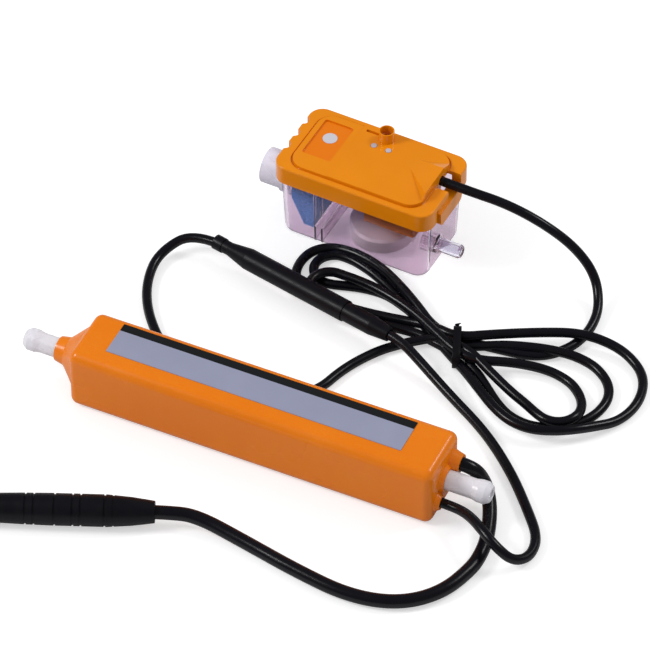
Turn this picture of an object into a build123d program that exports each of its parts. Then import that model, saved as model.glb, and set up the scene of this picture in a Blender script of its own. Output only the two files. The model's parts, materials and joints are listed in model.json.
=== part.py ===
"""Two-piece condensate pump: a pump block in a soft orange coat and a clear float chamber.

Millimetres. The origin is the centre of the pump block's resting face. X runs along
the pump block towards its discharge end, Y towards the float chamber, Z up.
"""

from build123d import *
import math
import os

# Fits between pieces
SNUG = 0.15              # gap between pieces that lie against each other
RUNNING = 0.05           # radial gap of a sliding shaft
LIMP_GAP = 0.3           # gap between soft pieces that move apart

# Coat of the pump block
PUMP_LENGTH = 165.0
PUMP_WIDTH = 30.0
PUMP_HEIGHT = PUMP_WIDTH
COAT_WALL = 1.6
COAT_CORNER = 4.5
COAT_END_ROUND = 3.5
NOSE_TAPER = 7.0
NOSE_RADIUS = 6.5
NOSE_SLEEVE = 4.5
SLEEVE_WALL = 0.9
SLEEVE_LENGTH = 1.6
SLEEVE_FLARE = 1.2
LABEL_LENGTH = 134.0
LABEL_WIDTH = 17.2
LABEL_THICKNESS = 0.25
LABEL_SHIFT_X = -1.6
LABEL_SHIFT_Y = 2.3

# Inner case
CASE_WALL = 1.8
BOARD_BOSS_RADIUS = 2.0
BOARD_BOSS_HEIGHT = 2.4

# Hose spigots of the pump block
SPIGOT_REACH = 21.0
SUCTION_EXTRA = 6.0      # the suction spigot also passes through the nose
SPIGOT_NECK_RADIUS = 4.35
SPIGOT_OLIVE_RADIUS = 4.9
SPIGOT_BORE_RADIUS = 2.0
OLIVE_LENGTH = 3.0
OLIVE_RISE = 2.5
TIP_LENGTH = 2.2
TIP_RADIUS = 3.5
TIP_ROUND = 0.77
FLANGE_RADIUS = 6.5
FLANGE_THICKNESS = 2.0
TAIL_RADIUS = 3.0
TAIL_LENGTH = 7.0
HOSE_WALL = 1.0

# Leads of the pump block
POWER_RADIUS = 3.0
POWER_EXIT_Y = 7.5
POWER_EXIT_Z = 18.5
POWER_NUB_LENGTH = 4.3
CONTROL_RADIUS = 2.15
CONTROL_EXIT_Y = -7.2
CONTROL_EXIT_Z = 8.5
CONTROL_NUB_LENGTH = 2.0

# Solenoid
SUCTION_SPACE = 17.95    # from the case's end wall to the guide tube
GUIDE_LENGTH = 49.0
GUIDE_SHARE = 0.2185     # guide tube's radius as a share of the case's inner width
GUIDE_WALL = 0.5
GUIDE_END = 1.2
COIL_INSET = 9.0         # from the guide tube's end to the coil
BOBBIN_LENGTH = 36.0
BOBBIN_FLANGE = 1.5
BOBBIN_WALL = 1.0
WINDING_INSET = 0.35
YOKE_PLATE = 1.4
YOKE_HEIGHT_SHARE = 0.7
POLE_RING_WALL = 1.0
POLE_RING_LENGTH = 9.0
PLUNGER_LENGTH = 20.0
PLUNGER_INSET = 10.0     # from the guide tube's open end to the plunger at rest
PLUNGER_PASSAGE = 1.5
SPRING_INSET = 0.95
SPRING_WIRE = 0.7
PLUNGER_SPRING_TURNS = 5
BUFFER_SPRING_TURNS = 2
CUTOUT_LENGTH = 10.0
CUTOUT_WIDTH = 5.0
CUTOUT_HEIGHT = 1.4

# Piston and cylinder
ROD_RADIUS = 1.7
ROD_BORE = 0.9
ROD_LENGTH = 27.0
ROD_ENTRY = 6.4          # length of the rod's tip inside the chamber at rest
CHAMBER_RADIUS = 2.6
CHAMBER_LENGTH = 10.0
SEAT_THICKNESS = 1.4
SEAT_HOLE_RADIUS = 1.2
VALVE_CHAMBER_RADIUS = 3.0
VALVE_CHAMBER_LENGTH = 8.0
BODY_LEFT_FLANGE = 3.0
BODY_FLANGE_RADIUS = 8.0
BODY_RADIUS = 6.5
BODY_SPIGOT_LENGTH = 5.8
SEAL_COUNT = 2
SEAL_WIDTH = 1.6
SEAL_RADIUS = 3.1
INLET_VALVE_RADIUS = 1.6
INLET_VALVE_THICKNESS = 1.0
INLET_VALVE_STEM = 3.0
OUTLET_VALVE_RADIUS = 2.3
OUTLET_VALVE_THICKNESS = 1.2
OUTLET_VALVE_PILOT = 0.8
VALVE_SPRING_RADIUS = 1.9
VALVE_SPRING_WIRE = 0.4
VALVE_SPRING_TURNS = 3
CAP_PLUG = 2.5
CAP_FLANGE = 2.0
NIPPLE_LENGTH = 8.0
NIPPLE_BORE = 1.5
MOUNT_THICKNESS = 6.0

# Control board
BOARD_SIDE_GAP = 1.2
BOARD_END_GAP = 4.95
BOARD_THICKNESS = 1.2
BOARD_BOSS_INSET = 3.0
CAPACITOR_RADIUS = 3.5
CAPACITOR_LENGTH = 14.0
CHIP_LENGTH = 8.0
CHIP_WIDTH = 5.5
CHIP_THICKNESS = 1.6
SWITCH_LENGTH = 10.0
SWITCH_WIDTH = 4.0
SWITCH_HEIGHT = 10.0
TERMINAL_LENGTH = 8.0
TERMINAL_WIDTH = 6.0
TERMINAL_HEIGHT = 4.5
FUSE_RADIUS = 2.0
FUSE_LENGTH = 13.0

# Float chamber, placed as it lies beside the pump block
TANK_X = -11.85
TANK_Y = 133.5
TANK_TURN = -2.5
TANK_LENGTH = 71.4
TANK_WIDTH = 38.4
TANK_HEIGHT = 34.0
TANK_DRAFT = 1.2
TANK_WALL = 1.6
TANK_CORNER = 6.0
TANK_BOTTOM_ROUND = 3.4
RIBS_SHARE = -0.23       # middle of the rib pair as a share of the tank's length
RIB_PITCH = 3.2
RIB_WIDTH = 0.9
RIB_DEPTH = 1.1
RIB_DROP = 3.5           # from the tank's rim to the ribs' top
WEIR_HEIGHT = 9.0
INLET_RADIUS = 8.0
INLET_WALL = 1.3
INLET_LENGTH = 12.0
INLET_Y = -4.6
INLET_DROP = 12.0
INLET_COLLAR_RADIUS = 8.9
INLET_COLLAR_REACH = 2.3
OUTLET_RADIUS = 3.1
OUTLET_TIP_RADIUS = 2.5
OUTLET_BORE = 1.8
OUTLET_LENGTH = 11.2
OUTLET_TIP_LENGTH = 1.0
OUTLET_Y = -6.6
OUTLET_Z = 13.5
OUTLET_BOSS_RADIUS = 4.2
OUTLET_BOSS_LENGTH = 4.0
OUTLET_COLLAR_REACH = 0.6

# Float and filter
FLOAT_INSET = 29.2       # from the tank's right end to the float's axis
FLOAT_Y = -1.0
FLOAT_SIDE_GAP = 5.0
FLOAT_THICKNESS = 8.0
FLOAT_EDGE = 1.0
FLOAT_REST = 1.6         # height of the float's underside above the chamber floor
POST_RADIUS = 2.9
POST_GAP = 0.35
POST_COLLAR_RADIUS = 4.6
POST_HEAD_GAP = 1.5
FLOAT_SEAT_GAP = 0.3
MAGNET_RADIUS = 6.0
MAGNET_THICKNESS = 2.5
FILTER_END_GAP = 6.2
FILTER_GAP = 0.3
FILTER_BOTTOM = 8.0
FILTER_SLOPE_X = 6.0
FILTER_SLOPE_Z = 13.0
FILTER_DROP = 4.0
FILTER_TAB_LENGTH = 11.3
FILTER_TAB_HEIGHT = 3.2

# Lid
LID_FIT = 0.4
LID_SKIRT = 1.4
LID_CORNER = 6.5
LID_RISE = 6.5           # lid's top above the tank's rim
LID_BAND = 9.0
LID_ROOF = 2.0
LID_EDGE_ROUND = 0.8
RIM_SHOULDER = 2.6
PLATEAU_EDGE_X = 6.3
PLATEAU_EDGE_Y = 3.4
PLATEAU_CORNER = 7.0
PLATEAU_RISE = 0.8
PLATEAU_SHIFT = -0.2
GROOVE_WIDTH = 0.9
GROOVE_DEPTH = 0.7
PANEL_INSET_X = 2.4
PANEL_LENGTH = 13.5
PANEL_FRONT_INSET = 8.8
PANEL_BACK_INSET = 3.6
PANEL_CORNER = 1.5
PANEL_DEPTH = 0.7
STEP_GAP = 3.3
STEP_RISE = 0.35
NOTCH_COUNT = 3
NOTCH_PITCH = 8.6
NOTCH_CENTRE_Y = 1.6
NOTCH_RADIUS = 2.7
NOTCH_DEPTH = 2.2
NOTCH_FOOT = 1.0
VENT_INSET = 3.3
VENT_RADIUS = 3.4
VENT_BORE = 2.9
VENT_HEIGHT = 6.3
VENT_FOOT = 1.2
SLOT_LENGTH = 6.0
SLOT_WIDTH = 1.4
SLOT_DEPTH = 1.4
SLOT_GAP = 0.8
SLOT_OFFSET = 1.2
PIN_RADIUS = 1.3
PIN_SPACING = 6.9
PIN_INSET = 9.2
PIN_CENTRE_X = 0.35
PIN_PROUD = 0.15
STICKER_Y = 4.6
STICKER_RADIUS = 3.2
STICKER_THICKNESS = 0.15
RAMP_LENGTH = 14.6
RAMP_START_Y = 6.6
RAMP_START_WIDTH = 6.0
RAMP_START_RISE = 0.2
RAMP_START_FACET = 0.3
RAMP_END_Y = -1.8
RAMP_END_WIDTH = 17.5
RAMP_FRONT_FACET = 3.6
RAMP_BACK_FACET = 9.5
RAMP_RISE = 3.3
LEAD_Y = 4.6
SENSOR_LEAD_ENTRY = 6.0  # length of the lead past the housing's middle and past the lid
LEAD_DROP = 1.3          # lead's axis below the lid's top
SENSOR_RADIUS = 2.1
POCKET_WIDTH = 12.0
POCKET_DEPTH = 4.7
LATCH_WIDTH = 20.0
LATCH_CENTRE_Y = -1.0
LATCH_PROUD = 1.3
LATCH_DROP = 3.0
LATCH_SLOT = 1.0
LATCH_ROOT = 2.5
LATCH_CORNER = 2.4

# Sensor housing under the lid
HOUSING_INSET = 19.2     # from the tank's right end to the housing's middle
HOUSING_LENGTH = 24.0
HOUSING_DEPTH = 16.5
HOUSING_FRONT_GAP = 1.0
HOUSING_BACK_GAP = 0.9
HOUSING_WALL = 1.3
HOUSING_CORNER = 1.0
SENSOR_BOARD_THICKNESS = 1.0
SENSOR_CHIP_LENGTH = 4.0
SENSOR_CHIP_WIDTH = 3.0
SENSOR_CHIP_HEIGHT = 1.4
SENSOR_CHIP_PITCH = 7.0
SENSOR_CHIP_COUNT = 3
RESIN_DEPTH = 3.0

# Mated connector pair on the table
PAIR_X = -65.1
PAIR_Y = 90.4
PAIR_Z = 9.2
PAIR_TURN = -12.2
COLLAR_LENGTH = 4.5
COLLAR_RADIUS = 3.3
SOCKET_LENGTH = 65.0
SOCKET_NECK_RADIUS = 2.95
SOCKET_RADIUS = 4.75
SOCKET_TAPER = 10.0
PLUG_LENGTH = 23.0
PLUG_RADIUS = 4.3
PLUG_END_RADIUS = 3.1
PLUG_NOSE_RADIUS = 3.3
PLUG_NOSE_LENGTH = 12.0
PLUG_SEAL_WIDTH = 1.4
CONTACT_RADIUS = 0.5
CONTACT_CIRCLE = 1.7
CONTACT_COUNT = 4
CONTACT_LENGTH = 12.0
LEAD_SEAT = 5.0          # length of a lead inside its connector
SOCKET_NECK_LENGTH = 3.0
PLUG_TAPER = 9.0
PLUG_SEAL_DEPTH = 0.9
PLUG_SEAL_INSET = 1.0
CONTACT_OVERLAP = 3.0    # length of the contacts beyond the joint's nose

# Power connector
POWER_PLUG_X = -20.0
POWER_PLUG_Y = -59.9
POWER_PLUG_Z = 6.8
POWER_PLUG_TURN = 202.8
POWER_PLUG_LENGTH = 78.0
POWER_PLUG_RADIUS = 6.7
POWER_PLUG_NECK = 4.6
POWER_PLUG_END_RADIUS = 5.6
POWER_GRIP_AT = (17.0, 20.5, 30.3, 33.6, 41.0, 49.5, 53.0)
POWER_GRIP_DEPTH = 0.45
POWER_GRIP_WIDTH = 0.9
POWER_SHROUD_RADIUS = 4.6
POWER_SHROUD_DEPTH = 11.0
POWER_PIN_RADIUS = 0.8
POWER_PIN_CIRCLE = 2.3
POWER_PIN_COUNT = 3
POWER_PIN_LENGTH = 8.0
POWER_PIN_SEAT = 3.0

# Hank of the sensor lead
HANK_RIGHT_HEIGHT = 8.6
HANK_LEFT_HEIGHT = 4.3
TIE_X = 52.0
TIE_Y = 80.5
TIE_TURN = 22.0
TIE_WIDTH = 5.0
TIE_THICKNESS = 1.0
WAIST_LENGTH = 16.0
WAIST_WIDTH = 17.0
WAIST_HEIGHT = 8.6

# Worked-out places of the pump block
AXIS_Z = PUMP_HEIGHT / 2
END_X = PUMP_LENGTH / 2
CASE_GAP = COAT_WALL + SNUG
CASE_END_X = END_X - CASE_GAP
CASE_WIDTH = PUMP_WIDTH - 2 * CASE_GAP
CASE_HEIGHT = PUMP_HEIGHT - 2 * CASE_GAP
CASE_CORNER = COAT_CORNER - COAT_WALL
CAVITY_END_X = CASE_END_X - CASE_WALL
CAVITY_WIDTH = CASE_WIDTH - 2 * CASE_WALL
CAVITY_HEIGHT = CASE_HEIGHT - 2 * CASE_WALL
CAVITY_FLOOR = CASE_GAP + CASE_WALL
TAIL_END_X = CAVITY_END_X - SNUG - FLANGE_THICKNESS - TAIL_LENGTH
GUIDE_LEFT_X = SUCTION_SPACE - CAVITY_END_X
GUIDE_RIGHT_X = GUIDE_LEFT_X + GUIDE_LENGTH
PLUNGER_RIGHT_X = GUIDE_RIGHT_X - PLUNGER_INSET
ROD_TIP_X = PLUNGER_RIGHT_X + ROD_LENGTH
CHAMBER_LEFT_X = ROD_TIP_X - ROD_ENTRY
SEAT_LEFT_X = CHAMBER_LEFT_X + CHAMBER_LENGTH
SEAT_RIGHT_X = SEAT_LEFT_X + SEAT_THICKNESS
BODY_RIGHT_X = SEAT_RIGHT_X + VALVE_CHAMBER_LENGTH
CAP_LEFT_X = BODY_RIGHT_X - CAP_PLUG
BOARD_LEFT_X = BODY_RIGHT_X + CAP_FLANGE + NIPPLE_LENGTH
BOARD_RIGHT_X = CAVITY_END_X - BOARD_END_GAP
BOARD_WIDTH = CAVITY_WIDTH - 2 * BOARD_SIDE_GAP
HOSE_RADIUS = TAIL_RADIUS + RUNNING + HOSE_WALL
TANK_PLACE = Pos(TANK_X, TANK_Y, 0) * Rot(0, 0, TANK_TURN)
PAIR_PLACE = Pos(PAIR_X, PAIR_Y, PAIR_Z) * Rot(0, 0, PAIR_TURN)
POWER_PLUG_PLACE = Pos(POWER_PLUG_X, POWER_PLUG_Y, POWER_PLUG_Z) * Rot(0, 0, POWER_PLUG_TURN)
PUMP_AXIS = Pos(0, 0, AXIS_Z)


def turned(*outline):
    """Solid of revolution about X from (x, radius) points."""
    face = Plane.XZ * make_face(Polyline(*outline, close=True))
    return revolve(face, Axis.X)


def ring(left, right, outer, inner):
    """Plain ring or tube about X."""
    return turned((left, inner), (right, inner), (right, outer), (left, outer))


def rod(left, right, radius):
    """Plain round bar about X."""
    return turned((left, 0), (right, 0), (right, radius), (left, radius))


def block(low, high):
    """Box from its two corners."""
    size = [h - l for l, h in zip(low, high)]
    centre = [(h + l) / 2 for l, h in zip(low, high)]
    return Pos(*centre) * Box(*size)


def along_x(section, left, right):
    """Section drawn in Y and Z, extruded from left to right."""
    plane = Plane(origin=(left, 0, 0), x_dir=(0, 1, 0), z_dir=(1, 0, 0))
    return extrude(plane * section, right - left)


def at(x, y, z):
    """Place for a piece that is turned about X on its own axis."""
    return Pos(x, y, z)


def corner_radii(points):
    """Largest tangent arcs that the runs of a lead's route allow."""
    radii = []
    for before, corner, after in zip(points, points[1:], points[2:]):
        run_in = Vector(*corner) - Vector(*before)
        run_out = Vector(*after) - Vector(*corner)
        half_turn = math.radians(run_in.get_angle(run_out)) / 2
        radii.append(0.45 * min(run_in.length, run_out.length) / math.tan(half_turn))
    return radii


def lead(name, points, radius):
    """Round lead along straight runs joined by tangent arcs."""
    radii = corner_radii(points)
    path = FilletPolyline(*points, radius=radii)
    start = Plane(origin=path @ 0, z_dir=path % 0)
    tube = sweep(start * Circle(radius), path)
    share = tube.volume / (math.pi * radius ** 2 * path.length)
    print(name, "length", round(path.length, 1), "volume share", round(share, 4))
    print("   radii", [round(value, 1) for value in radii])
    return tube


def coil_spring(left, right, radius, wire, turns):
    """Compression spring of square wire about X, between its two seats."""
    height = right - left - wire
    path = Helix(pitch=height / turns, height=height, radius=radius)
    start = Plane(origin=path @ 0, x_dir=(1, 0, 0), z_dir=path % 0)
    wound = sweep(start * Rectangle(wire, wire), path, is_frenet=True)
    return Pos(left + wire / 2, 0, 0) * Rot(0, 90, 0) * wound


# Coat, label and inner case
def rounded_bar(left, right, width, height, corner):
    section = Pos(0, AXIS_Z, 0) * RectangleRounded(width, height, corner)
    return along_x(section, left, right)


def lead_nub(x, y, z, radius, length):
    base = radius + SNUG + SLEEVE_WALL + SLEEVE_FLARE
    tip = radius + SNUG + SLEEVE_WALL
    return at(x, y, z) * turned((-SNUG, 0), (length, 0), (length, tip), (-SNUG, base))


def end_bores(grow, right_from, right_to):
    """Bores for the discharge spigot and both leads through the right end."""
    spigot = at(0, 0, AXIS_Z) * rod(right_from, right_to, SPIGOT_NECK_RADIUS + grow)
    power = at(0, POWER_EXIT_Y, POWER_EXIT_Z) * rod(right_from, right_to, POWER_RADIUS + grow)
    control = at(0, CONTROL_EXIT_Y, CONTROL_EXIT_Z) * rod(right_from, right_to, CONTROL_RADIUS + grow)
    return spigot + power + control


def casing_coat():
    coat = rounded_bar(-END_X, END_X, PUMP_WIDTH, PUMP_HEIGHT, COAT_CORNER)
    ends = coat.faces().sort_by(Axis.X)
    coat = fillet(ends[0].edges() + ends[-1].edges(), COAT_END_ROUND)
    flat_width = PUMP_WIDTH - 2 * COAT_END_ROUND
    flat_height = PUMP_HEIGHT - 2 * COAT_END_ROUND
    flat = RectangleRounded(flat_width, flat_height, COAT_CORNER)
    wide = Plane(origin=(-END_X + SNUG, 0, AXIS_Z), x_dir=(0, -1, 0), z_dir=(-1, 0, 0))
    narrow = wide.offset(NOSE_TAPER + SNUG)
    coat += loft([wide * flat, narrow * Circle(NOSE_RADIUS)])
    nose_x = -END_X - NOSE_TAPER
    tip = SPIGOT_NECK_RADIUS + SNUG + SLEEVE_WALL
    coat += PUMP_AXIS * turned((nose_x + SNUG, 0), (nose_x + SNUG, NOSE_RADIUS - SNUG),
                               (nose_x - NOSE_SLEEVE, tip), (nose_x - NOSE_SLEEVE, 0))
    coat += lead_nub(END_X, 0, AXIS_Z, SPIGOT_NECK_RADIUS, SLEEVE_LENGTH)
    coat += lead_nub(END_X, POWER_EXIT_Y, POWER_EXIT_Z, POWER_RADIUS, POWER_NUB_LENGTH)
    coat += lead_nub(END_X, CONTROL_EXIT_Y, CONTROL_EXIT_Z, CONTROL_RADIUS, CONTROL_NUB_LENGTH)
    inner_end = END_X - COAT_WALL
    coat -= rounded_bar(-inner_end, inner_end, PUMP_WIDTH - 2 * COAT_WALL,
                        PUMP_HEIGHT - 2 * COAT_WALL, CASE_CORNER + SNUG)
    coat -= end_bores(SNUG, 0, END_X + POWER_NUB_LENGTH + 1)
    coat -= PUMP_AXIS * rod(nose_x - NOSE_SLEEVE - 1, 0, SPIGOT_NECK_RADIUS + SNUG)
    return coat


def rating_label():
    low = PUMP_HEIGHT
    plate = extrude(Rectangle(LABEL_LENGTH, LABEL_WIDTH), LABEL_THICKNESS)
    return Pos(LABEL_SHIFT_X, LABEL_SHIFT_Y, low) * plate


def inner_case():
    case = rounded_bar(-CASE_END_X, CASE_END_X, CASE_WIDTH, CASE_HEIGHT, CASE_CORNER)
    cavity = rounded_bar(-CAVITY_END_X, CAVITY_END_X, CAVITY_WIDTH, CAVITY_HEIGHT,
                         max(CASE_CORNER - CASE_WALL, 0.5))
    case -= cavity
    case -= end_bores(SNUG, 0, END_X)
    case -= PUMP_AXIS * rod(-END_X, 0, SPIGOT_NECK_RADIUS + SNUG)
    lower = block((-END_X, -PUMP_WIDTH, 0), (END_X, PUMP_WIDTH, AXIS_Z))
    upper = block((-END_X, -PUMP_WIDTH, AXIS_Z), (END_X, PUMP_WIDTH, PUMP_HEIGHT))
    boss_x = (BOARD_LEFT_X + BOARD_BOSS_INSET, BOARD_RIGHT_X - BOARD_BOSS_INSET)
    boss_y = BOARD_WIDTH / 2 - BOARD_BOSS_INSET
    boss = Cylinder(BOARD_BOSS_RADIUS, BOARD_BOSS_HEIGHT + SNUG, align=(Align.CENTER, Align.CENTER, Align.MIN))
    base = case & lower
    for x in boss_x:
        for y in (-boss_y, boss_y):
            base += Pos(x, y, CAVITY_FLOOR - SNUG) * boss
    return base, case & upper


# Spigots and inner hoses
def spigot(reach):
    """Hose spigot pointing along +X; x is measured from the pump block's middle."""
    tip_x = END_X + reach
    olive_end = tip_x - TIP_LENGTH
    olive_start = olive_end - OLIVE_LENGTH
    flange_right = CAVITY_END_X - SNUG
    flange_left = flange_right - FLANGE_THICKNESS
    body = turned((TAIL_END_X, SPIGOT_BORE_RADIUS), (tip_x, SPIGOT_BORE_RADIUS), (tip_x, TIP_RADIUS),
                  (olive_end, SPIGOT_OLIVE_RADIUS), (olive_start, SPIGOT_OLIVE_RADIUS),
                  (olive_start - OLIVE_RISE, SPIGOT_NECK_RADIUS), (flange_right, SPIGOT_NECK_RADIUS),
                  (flange_right, FLANGE_RADIUS), (flange_left, FLANGE_RADIUS),
                  (flange_left, TAIL_RADIUS), (TAIL_END_X, TAIL_RADIUS))
    rims = body.edges().filter_by(GeomType.CIRCLE)
    outer_rim = [edge for edge in rims if abs(edge.center().X - tip_x) < 0.01
                 and abs(edge.radius - TIP_RADIUS) < 0.01]
    return PUMP_AXIS * fillet(outer_rim, TIP_ROUND)


def hose(left, right):
    bore = TAIL_RADIUS + RUNNING
    return PUMP_AXIS * ring(left, right, HOSE_RADIUS, bore)


# Solenoid
GUIDE_RADIUS = GUIDE_SHARE * CAVITY_WIDTH
COIL_LEFT_X = GUIDE_LEFT_X + COIL_INSET
COIL_RIGHT_X = COIL_LEFT_X + BOBBIN_LENGTH
RING_RADIUS = GUIDE_RADIUS + SNUG + POLE_RING_WALL
BOBBIN_BORE = RING_RADIUS + SNUG
YOKE_WIDTH = CAVITY_WIDTH - 2 * SNUG
BOBBIN_FLANGE_RADIUS = YOKE_WIDTH / 2 - YOKE_PLATE - SNUG
WINDING_RADIUS = BOBBIN_FLANGE_RADIUS - WINDING_INSET
NIPPLE_LEFT_X = GUIDE_LEFT_X - NIPPLE_LENGTH
PLUNGER_RADIUS = GUIDE_RADIUS - GUIDE_WALL - RUNNING
PLUNGER_LEFT_X = PLUNGER_RIGHT_X - PLUNGER_LENGTH
SPRING_RADIUS = PLUNGER_RADIUS - SPRING_INSET - SPRING_WIRE / 2


def guide_tube():
    inner = GUIDE_RADIUS - GUIDE_WALL
    return PUMP_AXIS * turned(
        (NIPPLE_LEFT_X, NIPPLE_BORE), (GUIDE_LEFT_X + GUIDE_END, NIPPLE_BORE),
        (GUIDE_LEFT_X + GUIDE_END, inner), (GUIDE_RIGHT_X, inner), (GUIDE_RIGHT_X, GUIDE_RADIUS),
        (GUIDE_LEFT_X, GUIDE_RADIUS), (GUIDE_LEFT_X, TAIL_RADIUS), (NIPPLE_LEFT_X, TAIL_RADIUS))


def coil_bobbin():
    core = BOBBIN_BORE + BOBBIN_WALL
    left_face, right_face = COIL_LEFT_X + BOBBIN_FLANGE, COIL_RIGHT_X - BOBBIN_FLANGE
    return PUMP_AXIS * turned(
        (COIL_LEFT_X, BOBBIN_BORE), (COIL_RIGHT_X, BOBBIN_BORE), (COIL_RIGHT_X, BOBBIN_FLANGE_RADIUS),
        (right_face, BOBBIN_FLANGE_RADIUS), (right_face, core), (left_face, core),
        (left_face, BOBBIN_FLANGE_RADIUS), (COIL_LEFT_X, BOBBIN_FLANGE_RADIUS))


def coil_winding():
    left, right = COIL_LEFT_X + BOBBIN_FLANGE + SNUG, COIL_RIGHT_X - BOBBIN_FLANGE - SNUG
    return PUMP_AXIS * ring(left, right, WINDING_RADIUS, BOBBIN_BORE + BOBBIN_WALL + SNUG)


def pole_rings():
    left = ring(COIL_LEFT_X + SNUG, COIL_LEFT_X + POLE_RING_LENGTH, RING_RADIUS, GUIDE_RADIUS + SNUG)
    right = ring(COIL_RIGHT_X - POLE_RING_LENGTH, COIL_RIGHT_X - SNUG, RING_RADIUS, GUIDE_RADIUS + SNUG)
    return PUMP_AXIS * Compound([left, right])


def magnet_yoke():
    inner_left, inner_right = COIL_LEFT_X - SNUG, COIL_RIGHT_X + SNUG
    half, inner_half = YOKE_WIDTH / 2, YOKE_WIDTH / 2 - YOKE_PLATE
    top = YOKE_HEIGHT_SHARE * CAVITY_HEIGHT / 2
    frame = block((inner_left - YOKE_PLATE, -half, -top), (inner_right + YOKE_PLATE, half, top))
    frame -= block((inner_left, -inner_half, -top), (inner_right, inner_half, top))
    frame -= rod(inner_left - 2 * YOKE_PLATE, inner_right + 2 * YOKE_PLATE, GUIDE_RADIUS + SNUG)
    return PUMP_AXIS * frame


def thermal_cutout():
    low = AXIS_Z + WINDING_RADIUS + SNUG
    body = Box(CUTOUT_LENGTH, CUTOUT_WIDTH, CUTOUT_HEIGHT, align=(Align.CENTER, Align.CENTER, Align.MIN))
    return Pos((COIL_LEFT_X + COIL_RIGHT_X) / 2, 0, low) * body


# Plunger and piston
def plunger():
    return PUMP_AXIS * ring(PLUNGER_LEFT_X, PLUNGER_RIGHT_X, PLUNGER_RADIUS, PLUNGER_PASSAGE)


def piston_rod():
    return PUMP_AXIS * ring(PLUNGER_RIGHT_X, ROD_TIP_X, ROD_RADIUS, ROD_BORE)


def plunger_spring():
    left = GUIDE_LEFT_X + GUIDE_END + SNUG
    return PUMP_AXIS * coil_spring(left, PLUNGER_LEFT_X - SNUG, SPRING_RADIUS, SPRING_WIRE,
                                   PLUNGER_SPRING_TURNS)


def buffer_spring():
    right = GUIDE_RIGHT_X - BODY_SPIGOT_LENGTH - SNUG
    return PUMP_AXIS * coil_spring(PLUNGER_RIGHT_X + SNUG, right, SPRING_RADIUS, SPRING_WIRE,
                                   BUFFER_SPRING_TURNS)


# Cylinder and valves
SEALS_LEFT_X = CHAMBER_LEFT_X - SEAL_COUNT * SEAL_WIDTH


def cylinder_body():
    spigot_left = GUIDE_RIGHT_X - BODY_SPIGOT_LENGTH
    spigot_radius = GUIDE_RADIUS - GUIDE_WALL - SNUG
    flange_left = GUIDE_RIGHT_X + SNUG
    flange_right = flange_left + BODY_LEFT_FLANGE
    rod_bore = ROD_RADIUS + RUNNING
    seal_bore = SEAL_RADIUS + SNUG
    return PUMP_AXIS * turned(
        (spigot_left, rod_bore), (SEALS_LEFT_X, rod_bore), (SEALS_LEFT_X, seal_bore),
        (CHAMBER_LEFT_X, seal_bore), (CHAMBER_LEFT_X, CHAMBER_RADIUS), (SEAT_LEFT_X, CHAMBER_RADIUS),
        (SEAT_LEFT_X, SEAT_HOLE_RADIUS), (SEAT_RIGHT_X, SEAT_HOLE_RADIUS),
        (SEAT_RIGHT_X, VALVE_CHAMBER_RADIUS), (BODY_RIGHT_X, VALVE_CHAMBER_RADIUS),
        (BODY_RIGHT_X, BODY_RADIUS), (flange_right, BODY_RADIUS), (flange_right, BODY_FLANGE_RADIUS),
        (flange_left, BODY_FLANGE_RADIUS), (flange_left, spigot_radius), (spigot_left, spigot_radius))


def cylinder_cap():
    left = BODY_RIGHT_X + SNUG
    flange_right = left + CAP_FLANGE
    return PUMP_AXIS * turned(
        (CAP_LEFT_X, NIPPLE_BORE), (flange_right + NIPPLE_LENGTH, NIPPLE_BORE),
        (flange_right + NIPPLE_LENGTH, TAIL_RADIUS), (flange_right, TAIL_RADIUS),
        (flange_right, BODY_RADIUS), (left, BODY_RADIUS),
        (left, VALVE_CHAMBER_RADIUS - SNUG), (CAP_LEFT_X, VALVE_CHAMBER_RADIUS - SNUG))


def piston_seals():
    rings = []
    for index in range(SEAL_COUNT):
        left = SEALS_LEFT_X + index * SEAL_WIDTH + SNUG / 2
        rings.append(ring(left, left + SEAL_WIDTH - SNUG, SEAL_RADIUS, ROD_RADIUS + RUNNING))
    return PUMP_AXIS * Compound(rings)


def inlet_valve():
    face = ROD_TIP_X + RUNNING
    stem = ROD_BORE - 2 * SNUG
    return PUMP_AXIS * turned(
        (face - INLET_VALVE_STEM, 0), (face + INLET_VALVE_THICKNESS, 0),
        (face + INLET_VALVE_THICKNESS, INLET_VALVE_RADIUS), (face, INLET_VALVE_RADIUS),
        (face, stem), (face - INLET_VALVE_STEM, stem))


def outlet_valve():
    face = SEAT_RIGHT_X + RUNNING
    back = face + OUTLET_VALVE_THICKNESS
    pilot = VALVE_SPRING_RADIUS - VALVE_SPRING_WIRE
    pilot_end = back + OUTLET_VALVE_PILOT
    return PUMP_AXIS * turned((face, 0), (pilot_end, 0), (pilot_end, pilot), (back, pilot),
                              (back, OUTLET_VALVE_RADIUS), (face, OUTLET_VALVE_RADIUS))


def outlet_valve_spring():
    left = SEAT_RIGHT_X + RUNNING + OUTLET_VALVE_THICKNESS + SNUG
    return PUMP_AXIS * coil_spring(left, CAP_LEFT_X - SNUG, VALVE_SPRING_RADIUS, VALVE_SPRING_WIRE,
                                   VALVE_SPRING_TURNS)


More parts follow.
